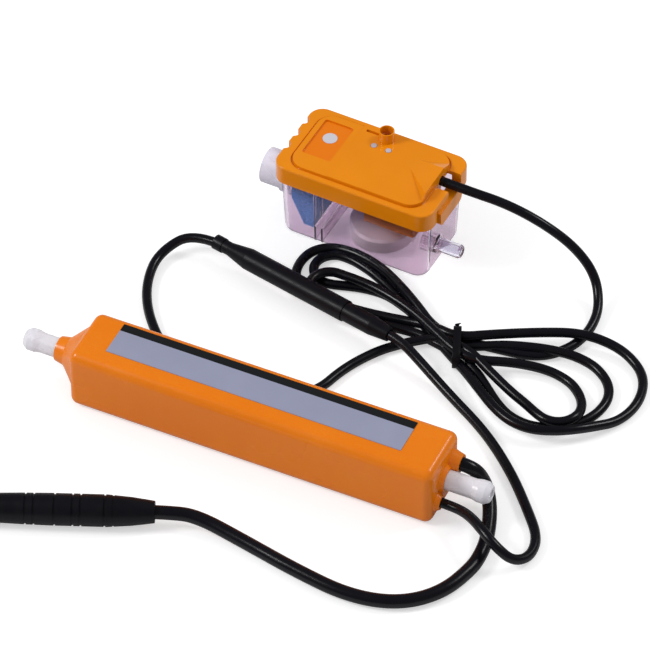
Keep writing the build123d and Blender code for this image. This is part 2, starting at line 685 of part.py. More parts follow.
def vibration_mounts():
    """Two rubber saddles that carry the guide tube and the cylinder in the case."""
    side = CAVITY_WIDTH / 2 - SNUG
    top = CAVITY_HEIGHT / 2 - SNUG
    yoke_left = COIL_LEFT_X - SNUG - YOKE_PLATE
    left = (yoke_left - SNUG - MOUNT_THICKNESS, yoke_left - SNUG, GUIDE_RADIUS)
    flange_right = GUIDE_RIGHT_X + SNUG + BODY_LEFT_FLANGE + SNUG
    right = (flange_right, flange_right + MOUNT_THICKNESS, BODY_RADIUS)
    mounts = []
    for low, high, radius in (left, right):
        mount = block((low, -side, -top), (high, side, top))
        mount = fillet(mount.edges().filter_by(Axis.X), max(CASE_CORNER - CASE_WALL, 0.5))
        mounts.append(mount - rod(low, high, radius + SNUG))
    return PUMP_AXIS * Compound(mounts)


# Control board
BOARD_LOW = CAVITY_FLOOR + BOARD_BOSS_HEIGHT + SNUG
BOARD_TOP = BOARD_LOW + BOARD_THICKNESS


def control_board():
    half = BOARD_WIDTH / 2
    return block((BOARD_LEFT_X, -half, BOARD_LOW), (BOARD_RIGHT_X, half, BOARD_TOP))


def board_components():
    """Parts of the board, each at its share of the board's length."""
    low = BOARD_TOP + SNUG
    side = BOARD_WIDTH / 2

    def along(share):
        return BOARD_LEFT_X + share * (BOARD_RIGHT_X - BOARD_LEFT_X)

    def chip(share, y, length, width, height):
        return block((along(share) - length / 2, y - width / 2, low),
                     (along(share) + length / 2, y + width / 2, low + height))

    capacitor = rod(along(0.2) - CAPACITOR_LENGTH / 2, along(0.2) + CAPACITOR_LENGTH / 2, CAPACITOR_RADIUS)
    fuse = rod(along(0.75) - FUSE_LENGTH / 2, along(0.75) + FUSE_LENGTH / 2, FUSE_RADIUS)
    return Compound([
        Pos(0, CAPACITOR_RADIUS - side, low + CAPACITOR_RADIUS) * capacitor,
        Pos(0, FUSE_RADIUS - side + SNUG, low + FUSE_RADIUS) * fuse,
        chip(0.5, 0, CHIP_LENGTH, CHIP_WIDTH, CHIP_THICKNESS),
        chip(0.15, side - CHIP_WIDTH / 2, CHIP_LENGTH, CHIP_WIDTH, CHIP_THICKNESS),
        chip(0.5, side - SWITCH_WIDTH / 2, SWITCH_LENGTH, SWITCH_WIDTH, SWITCH_HEIGHT),
        chip(0.85, side - TERMINAL_WIDTH / 2, TERMINAL_LENGTH, TERMINAL_WIDTH, TERMINAL_HEIGHT),
    ])


# Tank with its spigots, ribs and float post
LID_LENGTH = TANK_LENGTH + 2 * (LID_FIT + LID_SKIRT)
LID_WIDTH = TANK_WIDTH + 2 * (LID_FIT + LID_SKIRT)
LID_TOP = TANK_HEIGHT + LID_RISE
HOUSING_BOTTOM = LID_TOP - LID_ROOF - HOUSING_DEPTH
FLOOR_Z = TANK_WALL
POST_TOP = HOUSING_BOTTOM - POST_HEAD_GAP
INNER_HALF_WIDTH = TANK_WIDTH / 2 - TANK_WALL
RIBS_X = RIBS_SHARE * TANK_LENGTH
RIB_TOP = TANK_HEIGHT - RIB_DROP
INLET_END_X = -TANK_LENGTH / 2 - INLET_LENGTH
INLET_Z = TANK_HEIGHT - INLET_DROP
FLOAT_X = TANK_LENGTH / 2 - FLOAT_INSET
FLOAT_RADIUS = TANK_WIDTH / 2 - FLOAT_SIDE_GAP


def tank_block(inset, low, high):
    """Rounded block with the tank's draft, a given distance inside its outer face."""
    def section(z):
        lean = TANK_DRAFT * (1 - z / TANK_HEIGHT)
        length = TANK_LENGTH - 2 * (inset + lean)
        width = TANK_WIDTH - 2 * (inset + lean)
        return Pos(0, 0, z) * RectangleRounded(length, width, TANK_CORNER - inset)
    return loft([section(low), section(high)])


def tank():
    body = tank_block(0, 0, TANK_HEIGHT)
    bottom = body.faces().sort_by(Axis.Z)[0]
    body = fillet(bottom.edges(), TANK_BOTTOM_ROUND)
    inlet = rod(INLET_END_X, -TANK_LENGTH / 2 + TANK_WALL, INLET_RADIUS)
    inlet += rod(-TANK_LENGTH / 2 - INLET_COLLAR_REACH, -TANK_LENGTH / 2 + TANK_WALL, INLET_COLLAR_RADIUS)
    body += Pos(0, INLET_Y, INLET_Z) * inlet
    right = TANK_LENGTH / 2
    outlet = turned((right - TANK_WALL - TANK_DRAFT, 0), (right + OUTLET_LENGTH, 0),
                    (right + OUTLET_LENGTH, OUTLET_TIP_RADIUS),
                    (right + OUTLET_LENGTH - OUTLET_TIP_LENGTH, OUTLET_RADIUS),
                    (right - TANK_WALL - TANK_DRAFT, OUTLET_RADIUS))
    outlet += rod(right - TANK_WALL - TANK_DRAFT, right + OUTLET_COLLAR_REACH, OUTLET_BOSS_RADIUS)
    body += Pos(0, OUTLET_Y, OUTLET_Z) * outlet
    body -= tank_block(TANK_WALL, FLOOR_Z, TANK_HEIGHT)
    boss_left = right - TANK_DRAFT - TANK_WALL - OUTLET_BOSS_LENGTH
    boss = Pos(0, OUTLET_Y, OUTLET_Z) * rod(boss_left, right - TANK_DRAFT, OUTLET_BOSS_RADIUS)
    inside = tank_block(TANK_WALL / 2, FLOOR_Z / 2, TANK_HEIGHT)
    body += boss & inside
    for x in (RIBS_X - RIB_PITCH / 2, RIBS_X + RIB_PITCH / 2):
        half = TANK_WIDTH / 2
        rib = block((x - RIB_WIDTH / 2, -half, FLOOR_Z / 2), (x + RIB_WIDTH / 2, half, RIB_TOP))
        gap = half - TANK_WALL - RIB_DEPTH
        rib -= block((x - RIB_WIDTH, -gap, WEIR_HEIGHT), (x + RIB_WIDTH, gap, RIB_TOP))
        body += rib & inside
    post = Cylinder(POST_RADIUS, POST_TOP - FLOOR_Z / 2, align=(Align.CENTER, Align.CENTER, Align.MIN))
    body += Pos(FLOAT_X, FLOAT_Y, FLOOR_Z / 2) * post
    collar_height = FLOOR_Z / 2 + FLOAT_REST - FLOAT_SEAT_GAP
    body += Pos(FLOAT_X, FLOAT_Y, FLOOR_Z / 2) * Cylinder(
        POST_COLLAR_RADIUS, collar_height, align=(Align.CENTER, Align.CENTER, Align.MIN))
    body -= Pos(0, INLET_Y, INLET_Z) * rod(INLET_END_X - 1, -TANK_LENGTH / 4, INLET_RADIUS - INLET_WALL)
    body -= Pos(0, OUTLET_Y, OUTLET_Z) * rod(boss_left - 1, right + OUTLET_LENGTH + 1, OUTLET_BORE)
    return TANK_PLACE * body


def filter_block():
    """Foam block by the inlet: slanted below, with a tab on top that reaches past the ribs."""
    left = FILTER_END_GAP - TANK_LENGTH / 2
    right = RIBS_X - RIB_PITCH / 2 - RIB_WIDTH / 2 - FILTER_GAP
    top = TANK_HEIGHT - FILTER_DROP
    profile = Polyline((left, top), (left, FILTER_BOTTOM + FILTER_SLOPE_Z),
                       (left + FILTER_SLOPE_X, FILTER_BOTTOM), (right, FILTER_BOTTOM),
                       (right, top), close=True)
    lean = TANK_DRAFT * (1 - FILTER_BOTTOM / TANK_HEIGHT)
    half = INNER_HALF_WIDTH - lean - FILTER_GAP
    foam = extrude(Plane.XZ * make_face(profile), half, both=True)
    tab_half = half - RIB_DEPTH - FILTER_GAP
    foam += block((right - FILTER_TAB_HEIGHT, -tab_half, top - FILTER_TAB_HEIGHT),
                  (right + FILTER_TAB_LENGTH, tab_half, top))
    return TANK_PLACE * foam


# Float
def float_disc():
    """Float with a pocket in its underside for the magnet."""
    low = FLOOR_Z + FLOAT_REST
    high = low + FLOAT_THICKNESS
    pocket = low + MAGNET_THICKNESS + SNUG
    bore = POST_RADIUS + POST_GAP
    outer = turned((low, MAGNET_RADIUS + SNUG), (low, FLOAT_RADIUS - FLOAT_EDGE),
                   (low + FLOAT_EDGE, FLOAT_RADIUS), (high - FLOAT_EDGE, FLOAT_RADIUS),
                   (high, FLOAT_RADIUS - FLOAT_EDGE), (high, bore), (pocket, bore),
                   (pocket, MAGNET_RADIUS + SNUG))
    upright = Rot(0, -90, 0) * outer
    return TANK_PLACE * Pos(FLOAT_X, FLOAT_Y, 0) * upright


def float_magnet():
    low = FLOOR_Z + FLOAT_REST
    magnet = ring(low, low + MAGNET_THICKNESS, MAGNET_RADIUS, POST_RADIUS + POST_GAP)
    return TANK_PLACE * Pos(FLOAT_X, FLOAT_Y, 0) * Rot(0, -90, 0) * magnet


# Lid
LID_BOTTOM = LID_TOP - LID_BAND
CEILING = LID_TOP - LID_ROOF
PLATEAU_TOP = LID_TOP + PLATEAU_RISE
LID_END_X = LID_LENGTH / 2
PLATEAU_LENGTH = LID_LENGTH - 2 * PLATEAU_EDGE_X
PLATEAU_WIDTH = LID_WIDTH - 2 * PLATEAU_EDGE_Y
PLATEAU_LEFT_X = PLATEAU_SHIFT - PLATEAU_LENGTH / 2
PLATEAU_END_X = PLATEAU_SHIFT + PLATEAU_LENGTH / 2
PANEL_LEFT_X = PLATEAU_LEFT_X + PANEL_INSET_X
PANEL_RIGHT_X = PANEL_LEFT_X + PANEL_LENGTH
RAMP_START_X = PLATEAU_END_X - RAMP_LENGTH
VENT_Y = PLATEAU_WIDTH / 2 - VENT_INSET
PIN_Y = PLATEAU_WIDTH / 2 - PIN_INSET
LEAD_Z = LID_TOP - LEAD_DROP
POCKET_FLOOR = LID_TOP - POCKET_DEPTH
HOUSING_X = TANK_LENGTH / 2 - HOUSING_INSET


def lid_ramp(plateau):
    """Wedge over the lead, rising to the right inside the plateau's outline, with slanted sides."""
    def section(x, y, width, front_facet, back_facet, rise):
        outline = Polyline((-width / 2 - front_facet, 0), (width / 2 + back_facet, 0), (width / 2, rise),
                           (-width / 2, rise), close=True)
        plane = Plane(origin=(x, y, LID_TOP), x_dir=(0, 1, 0), z_dir=(1, 0, 0))
        return plane * make_face(outline)
    start = section(RAMP_START_X, RAMP_START_Y, RAMP_START_WIDTH, RAMP_START_FACET, RAMP_START_FACET,
                    PLATEAU_RISE + RAMP_START_RISE)
    end = section(PLATEAU_END_X, RAMP_END_Y, RAMP_END_WIDTH, RAMP_FRONT_FACET, RAMP_BACK_FACET,
                  PLATEAU_RISE + RAMP_RISE)
    return loft([start, end], ruled=True) & extrude(plateau, LID_TOP)


def lid():
    shell = extrude(Pos(0, 0, LID_BOTTOM) * RectangleRounded(LID_LENGTH, LID_WIDTH, LID_CORNER), LID_BAND)
    top_edges = shell.faces().sort_by(Axis.Z)[-1].edges()
    shell = fillet(top_edges, LID_EDGE_ROUND)
    plateau = Pos(PLATEAU_SHIFT, 0, CEILING) * RectangleRounded(PLATEAU_LENGTH, PLATEAU_WIDTH, PLATEAU_CORNER)
    groove_outer = RectangleRounded(PLATEAU_LENGTH + 2 * GROOVE_WIDTH, PLATEAU_WIDTH + 2 * GROOVE_WIDTH,
                                    PLATEAU_CORNER + GROOVE_WIDTH)
    shell -= extrude(Pos(PLATEAU_SHIFT, 0, LID_TOP - GROOVE_DEPTH) * groove_outer, GROOVE_DEPTH + 1)
    shell += extrude(plateau, LID_ROOF + PLATEAU_RISE)
    raised = extrude(plateau, LID_ROOF + PLATEAU_RISE + STEP_RISE)
    step_x = PANEL_RIGHT_X + STEP_GAP
    shell += raised & block((step_x, -LID_WIDTH, CEILING), (LID_LENGTH, LID_WIDTH, 2 * LID_TOP))
    shell += lid_ramp(plateau)
    panel = block((PANEL_LEFT_X, PANEL_FRONT_INSET - PLATEAU_WIDTH / 2, PLATEAU_TOP - PANEL_DEPTH),
                  (PANEL_RIGHT_X, PLATEAU_WIDTH / 2 - PANEL_BACK_INSET, 2 * LID_TOP))
    shell -= fillet(panel.edges().filter_by(Axis.Z), PANEL_CORNER)
    for index in range(NOTCH_COUNT):
        y = NOTCH_CENTRE_Y + (index - (NOTCH_COUNT - 1) / 2) * NOTCH_PITCH
        x = -LID_END_X + NOTCH_DEPTH - NOTCH_RADIUS
        notch = Cylinder(NOTCH_RADIUS, LID_BAND, align=(Align.CENTER, Align.CENTER, Align.MIN))
        shell -= Pos(x, y, TANK_HEIGHT + NOTCH_FOOT) * notch
    vent_base = Pos(0, VENT_Y, CEILING)
    upright = (Align.CENTER, Align.CENTER, Align.MIN)
    shell += vent_base * Cylinder(VENT_RADIUS + VENT_FOOT, LID_ROOF + PLATEAU_RISE + STEP_RISE, align=upright)
    shell += vent_base * Cylinder(VENT_RADIUS, LID_ROOF + VENT_HEIGHT, align=upright)
    shell -= vent_base * Cylinder(VENT_BORE, LID_ROOF + VENT_HEIGHT, align=upright)
    slot_right = -VENT_RADIUS - SLOT_GAP
    slot_y = VENT_Y + SLOT_OFFSET
    shell -= block((slot_right - SLOT_LENGTH, slot_y - SLOT_WIDTH / 2, PLATEAU_TOP - SLOT_DEPTH),
                   (slot_right, slot_y + SLOT_WIDTH / 2, 2 * LID_TOP))
    for x in (PIN_CENTRE_X - PIN_SPACING / 2, PIN_CENTRE_X + PIN_SPACING / 2):
        shell -= Pos(x, PIN_Y, CEILING) * Cylinder(PIN_RADIUS + SNUG, LID_BAND, align=upright)
    # Pocket in the right rim, where the lead leaves, and the latch below it
    pocket_low = LEAD_Y - POCKET_WIDTH / 2
    shell -= block((PLATEAU_END_X, pocket_low, POCKET_FLOOR),
                   (LID_LENGTH, pocket_low + POCKET_WIDTH, 2 * LID_TOP))
    latch_low = LATCH_CENTRE_Y - LATCH_WIDTH / 2
    latch_high = LATCH_CENTRE_Y + LATCH_WIDTH / 2
    inner_face = TANK_LENGTH / 2 + LID_FIT
    for y in (latch_low - LATCH_SLOT, latch_high):
        shell -= block((inner_face - SNUG, y, 0), (LID_LENGTH, y + LATCH_SLOT, LID_TOP - LATCH_ROOT))
    latch = block((inner_face, latch_low, LID_BOTTOM - LATCH_DROP),
                  (LID_END_X + LATCH_PROUD, latch_high, POCKET_FLOOR))
    shell += fillet(latch.edges().filter_by(Axis.X).sort_by(Axis.Z)[:2], LATCH_CORNER)
    # Hollow that fits over the tank's rim, and the chamber above its mouth
    rim_top = TANK_HEIGHT + SNUG
    over_rim = RectangleRounded(TANK_LENGTH + 2 * LID_FIT, TANK_WIDTH + 2 * LID_FIT, TANK_CORNER + LID_FIT)
    shell -= extrude(Pos(0, 0, LID_BOTTOM - LATCH_DROP) * over_rim, rim_top - LID_BOTTOM + LATCH_DROP)
    mouth = RectangleRounded(TANK_LENGTH - 2 * RIM_SHOULDER, TANK_WIDTH - 2 * RIM_SHOULDER,
                             TANK_CORNER - RIM_SHOULDER + 1)
    shell -= extrude(Pos(0, 0, TANK_HEIGHT) * mouth, CEILING - TANK_HEIGHT)
    lead_bore = rod(HOUSING_X, LID_LENGTH, SENSOR_RADIUS + SNUG)
    shell -= Pos(0, LEAD_Y, LEAD_Z) * lead_bore
    return TANK_PLACE * shell


def lid_pins():
    pins = []
    length = PLATEAU_TOP + STEP_RISE + PIN_PROUD - CEILING
    for x in (PIN_CENTRE_X - PIN_SPACING / 2, PIN_CENTRE_X + PIN_SPACING / 2):
        pin = Cylinder(PIN_RADIUS, length, align=(Align.CENTER, Align.CENTER, Align.MIN))
        pins.append(Pos(x, PIN_Y, CEILING) * pin)
    return TANK_PLACE * Compound(pins)


def inspection_sticker():
    disc = Cylinder(STICKER_RADIUS, STICKER_THICKNESS, align=(Align.CENTER, Align.CENTER, Align.MIN))
    return TANK_PLACE * Pos((PANEL_LEFT_X + PANEL_RIGHT_X) / 2, STICKER_Y, PLATEAU_TOP - PANEL_DEPTH) * disc


# Sensor housing with its potted board
HOUSING_TOP = CEILING - SNUG
HOUSING_FRONT_Y = HOUSING_FRONT_GAP + RIM_SHOULDER - TANK_WIDTH / 2
HOUSING_BACK_Y = VENT_Y - VENT_BORE - HOUSING_BACK_GAP
SENSOR_BOARD_LOW = HOUSING_BOTTOM + HOUSING_WALL + SNUG
SENSOR_CHIP_LOW = SENSOR_BOARD_LOW + SENSOR_BOARD_THICKNESS + SNUG
RESIN_LOW = SENSOR_CHIP_LOW + SENSOR_CHIP_HEIGHT + SNUG


def housing_space(inset, low, high):
    half = HOUSING_LENGTH / 2 - inset
    return block((HOUSING_X - half, HOUSING_FRONT_Y + inset, low),
                 (HOUSING_X + half, HOUSING_BACK_Y - inset, high))


def sensor_housing():
    cup = housing_space(0, HOUSING_BOTTOM, HOUSING_TOP)
    cup = fillet(cup.edges().filter_by(Axis.Z), HOUSING_CORNER)
    cup -= housing_space(HOUSING_WALL, HOUSING_BOTTOM + HOUSING_WALL, HOUSING_TOP)
    cup -= Pos(0, LEAD_Y, LEAD_Z) * rod(HOUSING_X, LID_END_X, SENSOR_RADIUS + SNUG)
    return TANK_PLACE * cup


def sensor_board():
    inset = HOUSING_WALL + SNUG
    return TANK_PLACE * housing_space(inset, SENSOR_BOARD_LOW, SENSOR_BOARD_LOW + SENSOR_BOARD_THICKNESS)


def sensor_chips():
    middle = (HOUSING_FRONT_Y + HOUSING_BACK_Y) / 2
    chips = []
    for index in range(SENSOR_CHIP_COUNT):
        y = middle + (index - (SENSOR_CHIP_COUNT - 1) / 2) * SENSOR_CHIP_PITCH
        low = (HOUSING_X - SENSOR_CHIP_LENGTH / 2, y - SENSOR_CHIP_WIDTH / 2, SENSOR_CHIP_LOW)
        high = (HOUSING_X + SENSOR_CHIP_LENGTH / 2, y + SENSOR_CHIP_WIDTH / 2,
                SENSOR_CHIP_LOW + SENSOR_CHIP_HEIGHT)
        chips.append(block(low, high))
    return TANK_PLACE * Compound(chips)


def potting_resin():
    return TANK_PLACE * housing_space(HOUSING_WALL + SNUG, RESIN_LOW, RESIN_LOW + RESIN_DEPTH)


# Mated connector pair, along +X from the sensor lead's side
SOCKET_START = COLLAR_LENGTH + SNUG
JOINT_X = SOCKET_START + SOCKET_LENGTH
NOSE_LEFT = JOINT_X - PLUG_NOSE_LENGTH
PLUG_END_X = JOINT_X + PLUG_LENGTH
LEAD_BORE = SENSOR_RADIUS + SNUG
GRIP_LEFT = JOINT_X + SNUG
SEAL_RIGHT = GRIP_LEFT - PLUG_SEAL_INSET
SEAL_LEFT = SEAL_RIGHT - PLUG_SEAL_WIDTH
SEAL_GROOVE = PLUG_NOSE_RADIUS - PLUG_SEAL_DEPTH
CONTACT_LEFT = NOSE_LEFT - SNUG - CONTACT_OVERLAP


def contact_rods(left, right, radius):
    rods = []
    for index in range(CONTACT_COUNT):
        angle = 2 * math.pi * (index + 0.5) / CONTACT_COUNT
        y, z = CONTACT_CIRCLE * math.cos(angle), CONTACT_CIRCLE * math.sin(angle)
        rods.append(Pos(0, y, z) * rod(left, right, radius))
    return rods


def socket_collar():
    return PAIR_PLACE * ring(0, COLLAR_LENGTH, COLLAR_RADIUS, LEAD_BORE)


def sensor_socket():
    bore = PLUG_NOSE_RADIUS + SNUG
    seat = SOCKET_START + LEAD_SEAT
    body = turned((SOCKET_START, LEAD_BORE), (seat, LEAD_BORE), (seat, 0), (NOSE_LEFT - SNUG, 0),
                  (NOSE_LEFT - SNUG, bore), (JOINT_X, bore), (JOINT_X, SOCKET_RADIUS),
                  (SOCKET_START + SOCKET_NECK_LENGTH + SOCKET_TAPER, SOCKET_RADIUS),
                  (SOCKET_START + SOCKET_NECK_LENGTH, SOCKET_NECK_RADIUS),
                  (SOCKET_START, SOCKET_NECK_RADIUS))
    for hole in contact_rods(CONTACT_LEFT - SNUG, NOSE_LEFT, CONTACT_RADIUS + SNUG):
        body -= hole
    return PAIR_PLACE * body


def contact_pins():
    return PAIR_PLACE * Compound(contact_rods(CONTACT_LEFT, CONTACT_LEFT + CONTACT_LENGTH, CONTACT_RADIUS))


def control_plug():
    seat = PLUG_END_X - LEAD_SEAT
    body = turned((NOSE_LEFT, 0), (seat, 0), (seat, CONTROL_RADIUS + SNUG),
                  (PLUG_END_X, CONTROL_RADIUS + SNUG), (PLUG_END_X, PLUG_END_RADIUS),
                  (PLUG_END_X - PLUG_TAPER, PLUG_RADIUS), (GRIP_LEFT, PLUG_RADIUS),
                  (GRIP_LEFT, PLUG_NOSE_RADIUS), (SEAL_RIGHT, PLUG_NOSE_RADIUS),
                  (SEAL_RIGHT, SEAL_GROOVE), (SEAL_LEFT, SEAL_GROOVE),
                  (SEAL_LEFT, PLUG_NOSE_RADIUS), (NOSE_LEFT, PLUG_NOSE_RADIUS))
    right = CONTACT_LEFT + CONTACT_LENGTH + SNUG
    for hole in contact_rods(CONTACT_LEFT, right, CONTACT_RADIUS + SNUG):
        body -= hole
    return PAIR_PLACE * body


def plug_seal():
    gap = SNUG / 2
    return PAIR_PLACE * ring(SEAL_LEFT + gap, SEAL_RIGHT - gap, PLUG_NOSE_RADIUS + gap, SEAL_GROOVE + gap)


# Power connector, along its own +X away from the lead
def power_radius(x):
    """Barrel radius at a distance from the neck, widest past the middle."""
    widest = 0.55 * POWER_PLUG_LENGTH
    if x < widest:
        share = 1 - (1 - x / widest) ** 2
        return POWER_PLUG_NECK + (POWER_PLUG_RADIUS - POWER_PLUG_NECK) * min(1, 1.6 * share)
    share = (x - widest) / (POWER_PLUG_LENGTH - widest)
    return POWER_PLUG_RADIUS + (POWER_PLUG_END_RADIUS - POWER_PLUG_RADIUS) * share ** 1.5


def power_connector():
    shroud_left = POWER_PLUG_LENGTH - POWER_SHROUD_DEPTH
    lead_bore = POWER_RADIUS + SNUG
    stations = [POWER_PLUG_LENGTH * share for share in (1, 0.85, 0.7, 0.55, 0.4, 0.25, 0.12, 0.05)]
    outside = [(x, power_radius(x)) for x in stations] + [(0, POWER_PLUG_NECK)]
    inside = [(0, lead_bore), (LEAD_SEAT, lead_bore), (LEAD_SEAT, 0), (shroud_left, 0),
              (shroud_left, POWER_SHROUD_RADIUS), (POWER_PLUG_LENGTH, POWER_SHROUD_RADIUS)]
    body = turned(*inside, *outside)
    for x in POWER_GRIP_AT:
        outer = power_radius(x)
        body -= ring(x - POWER_GRIP_WIDTH / 2, x + POWER_GRIP_WIDTH / 2, outer + 1, outer - POWER_GRIP_DEPTH)
    for hole in power_rods(shroud_left - POWER_PIN_SEAT, shroud_left + SNUG, POWER_PIN_RADIUS + SNUG):
        body -= hole
    return POWER_PLUG_PLACE * body


def power_rods(left, right, radius):
    rods = []
    for index in range(POWER_PIN_COUNT):
        angle = 2 * math.pi * index / POWER_PIN_COUNT + math.pi / 2
        y, z = POWER_PIN_CIRCLE * math.cos(angle), POWER_PIN_CIRCLE * math.sin(angle)
        rods.append(Pos(0, y, z) * rod(left, right, radius))
    return rods


def power_connector_pins():
    left = POWER_PLUG_LENGTH - POWER_SHROUD_DEPTH - POWER_PIN_SEAT + SNUG
    return POWER_PLUG_PLACE * Compound(power_rods(left, left + POWER_PIN_LENGTH + POWER_PIN_SEAT, POWER_PIN_RADIUS))


# Leads
def placed(place, x, y, z):
    point = (place * Pos(x, y, z)).position
    return (point.X, point.Y, point.Z)


def power_lead():
    route = [
        (CAVITY_END_X, POWER_EXIT_Y, POWER_EXIT_Z), (91.5, POWER_EXIT_Y, POWER_EXIT_Z), (96, 10, 9),
        (102, 3.5, 3.2), (107.5, -13, 3.1), (108.5, -30, 3.05), (102.5, -48, 3.05),
        (89, -60.5, 3.05), (69, -65, 3.05), (44, -61.5, 3.05), (18, -56, 3.05),
        placed(POWER_PLUG_PLACE, -17, 0, -1.5), placed(POWER_PLUG_PLACE, -5, 0, 0),
        placed(POWER_PLUG_PLACE, LEAD_SEAT - SNUG, 0, 0),
    ]
    return lead("power_lead", route, POWER_RADIUS)


def control_lead():
    route = [
        (CAVITY_END_X, CONTROL_EXIT_Y, CONTROL_EXIT_Z), (90, CONTROL_EXIT_Y, 8.7), (99, -11.5, 11.5),
        (108, -18.5, 13), (115.5, -22.5, 11), (122.5, -21.5, 5), (127, -14, 2.2), (125.5, -3, 2.2),
        (116, 9, 2.2), (101, 26, 2.2), (82, 42.5, 2.2), (60, 55.5, 2.4), (42, 65, 6),
        placed(PAIR_PLACE, PLUG_END_X + 6, 0, 0), placed(PAIR_PLACE, PLUG_END_X - LEAD_SEAT + SNUG, 0, 0),
    ]
    return lead("control_lead", route, CONTROL_RADIUS)


def sensor_lead_plug_end(hank):
    route = [
        (44, 80, 2.15), (33, 78.5, 2.15), (21.5, 67.5, 2.15), (11.5, 51, 2.15), (9, 34, 2.15),
        (-4, 22.5, 2.15), (-24, 18.9, 2.15), (-45, 20.5, 2.15), (-62, 31, 2.15), (-76, 46, 2.15),
        (-84.5, 62, 2.15), (-87, 79, 3.6), placed(PAIR_PLACE, -11, 0, 0),
        placed(PAIR_PLACE, SOCKET_START + LEAD_SEAT - SNUG, 0, 0),
    ]
    tube = lead("sensor_lead_plug_end", route, SENSOR_RADIUS)
    return (tube - hank).solids().sort_by(SortBy.VOLUME)[-1]


def hank_outline(points, share, height):
    """Flat block with the outer shape of one end of the hank."""
    radii = []
    looped = [points[-1]] + points + [points[0]]
    for before, corner, after in zip(looped, looped[1:], looped[2:]):
        run_in, run_out = Vector(*corner) - Vector(*before), Vector(*after) - Vector(*corner)
        half_turn = math.radians(run_in.get_angle(run_out)) / 2
        radii.append(share * min(run_in.length, run_out.length) / math.tan(half_turn))
    outline = FilletPolyline(*points, radius=radii, close=True)
    return extrude(make_face(outline), height)


RIGHT_LOOPS = [(59, 93), (82, 106.5), (102, 114.5), (121, 113), (135, 101), (140, 83),
               (135, 66), (120, 58.5), (104, 47), (88, 47.5), (73, 59), (60.5, 73.5)]
LEFT_LOOPS = [(42, 90.5), (32, 101), (16, 111.5), (-6, 112.3), (-24, 113.5), (-33, 106),
              (-33, 92), (-24, 82), (-2, 78.5), (22, 79), (41, 77)]


def hank_body():
    waist = Pos(TIE_X, TIE_Y, 0) * Rot(0, 0, TIE_TURN) * Box(
        WAIST_LENGTH, WAIST_WIDTH, WAIST_HEIGHT, align=(Align.CENTER, Align.CENTER, Align.MIN))
    hank = hank_outline(RIGHT_LOOPS, 0.45, HANK_RIGHT_HEIGHT)
    hank += hank_outline(LEFT_LOOPS, 0.45, HANK_LEFT_HEIGHT)
    return hank + waist


def hank_tie():
    outer_length = WAIST_WIDTH + 2 * (SNUG + TIE_THICKNESS)
    low = (Align.CENTER, Align.CENTER, Align.MIN)
    place = Pos(TIE_X, TIE_Y, 0) * Rot(0, 0, TIE_TURN)
    loop = place * Box(TIE_WIDTH, outer_length, WAIST_HEIGHT + SNUG + TIE_THICKNESS, align=low)
    return loop - place * Box(TIE_WIDTH, WAIST_WIDTH + 2 * SNUG, WAIST_HEIGHT + SNUG, align=low)


def sensor_lead_tank_end(hank):
    route = [
        placed(TANK_PLACE, HOUSING_X + SENSOR_LEAD_ENTRY, LEAD_Y, LEAD_Z),
        placed(TANK_PLACE, LID_END_X + SENSOR_LEAD_ENTRY, LEAD_Y, LEAD_Z - 0.4),
        (49, 137.6, 37), (66, 138.5, 31.5), (80, 141, 21), (90.5, 139.5, 10), (97, 129, 3.2),
        (98.5, 115, 2.2), (97, 100, 2.2),
    ]
    tube = lead("sensor_lead_tank_end", route, SENSOR_RADIUS)
    shadow = hank_outline(RIGHT_LOOPS, 0.45, LID_TOP)
    keep_off = offset(shadow.faces().sort_by(Axis.Z)[0], LIMP_GAP)
    keep_off = extrude(keep_off, LID_TOP, dir=(0, 0, 1))
    rest = tube - keep_off
    return rest.solids().sort_by(SortBy.VOLUME)[-1]


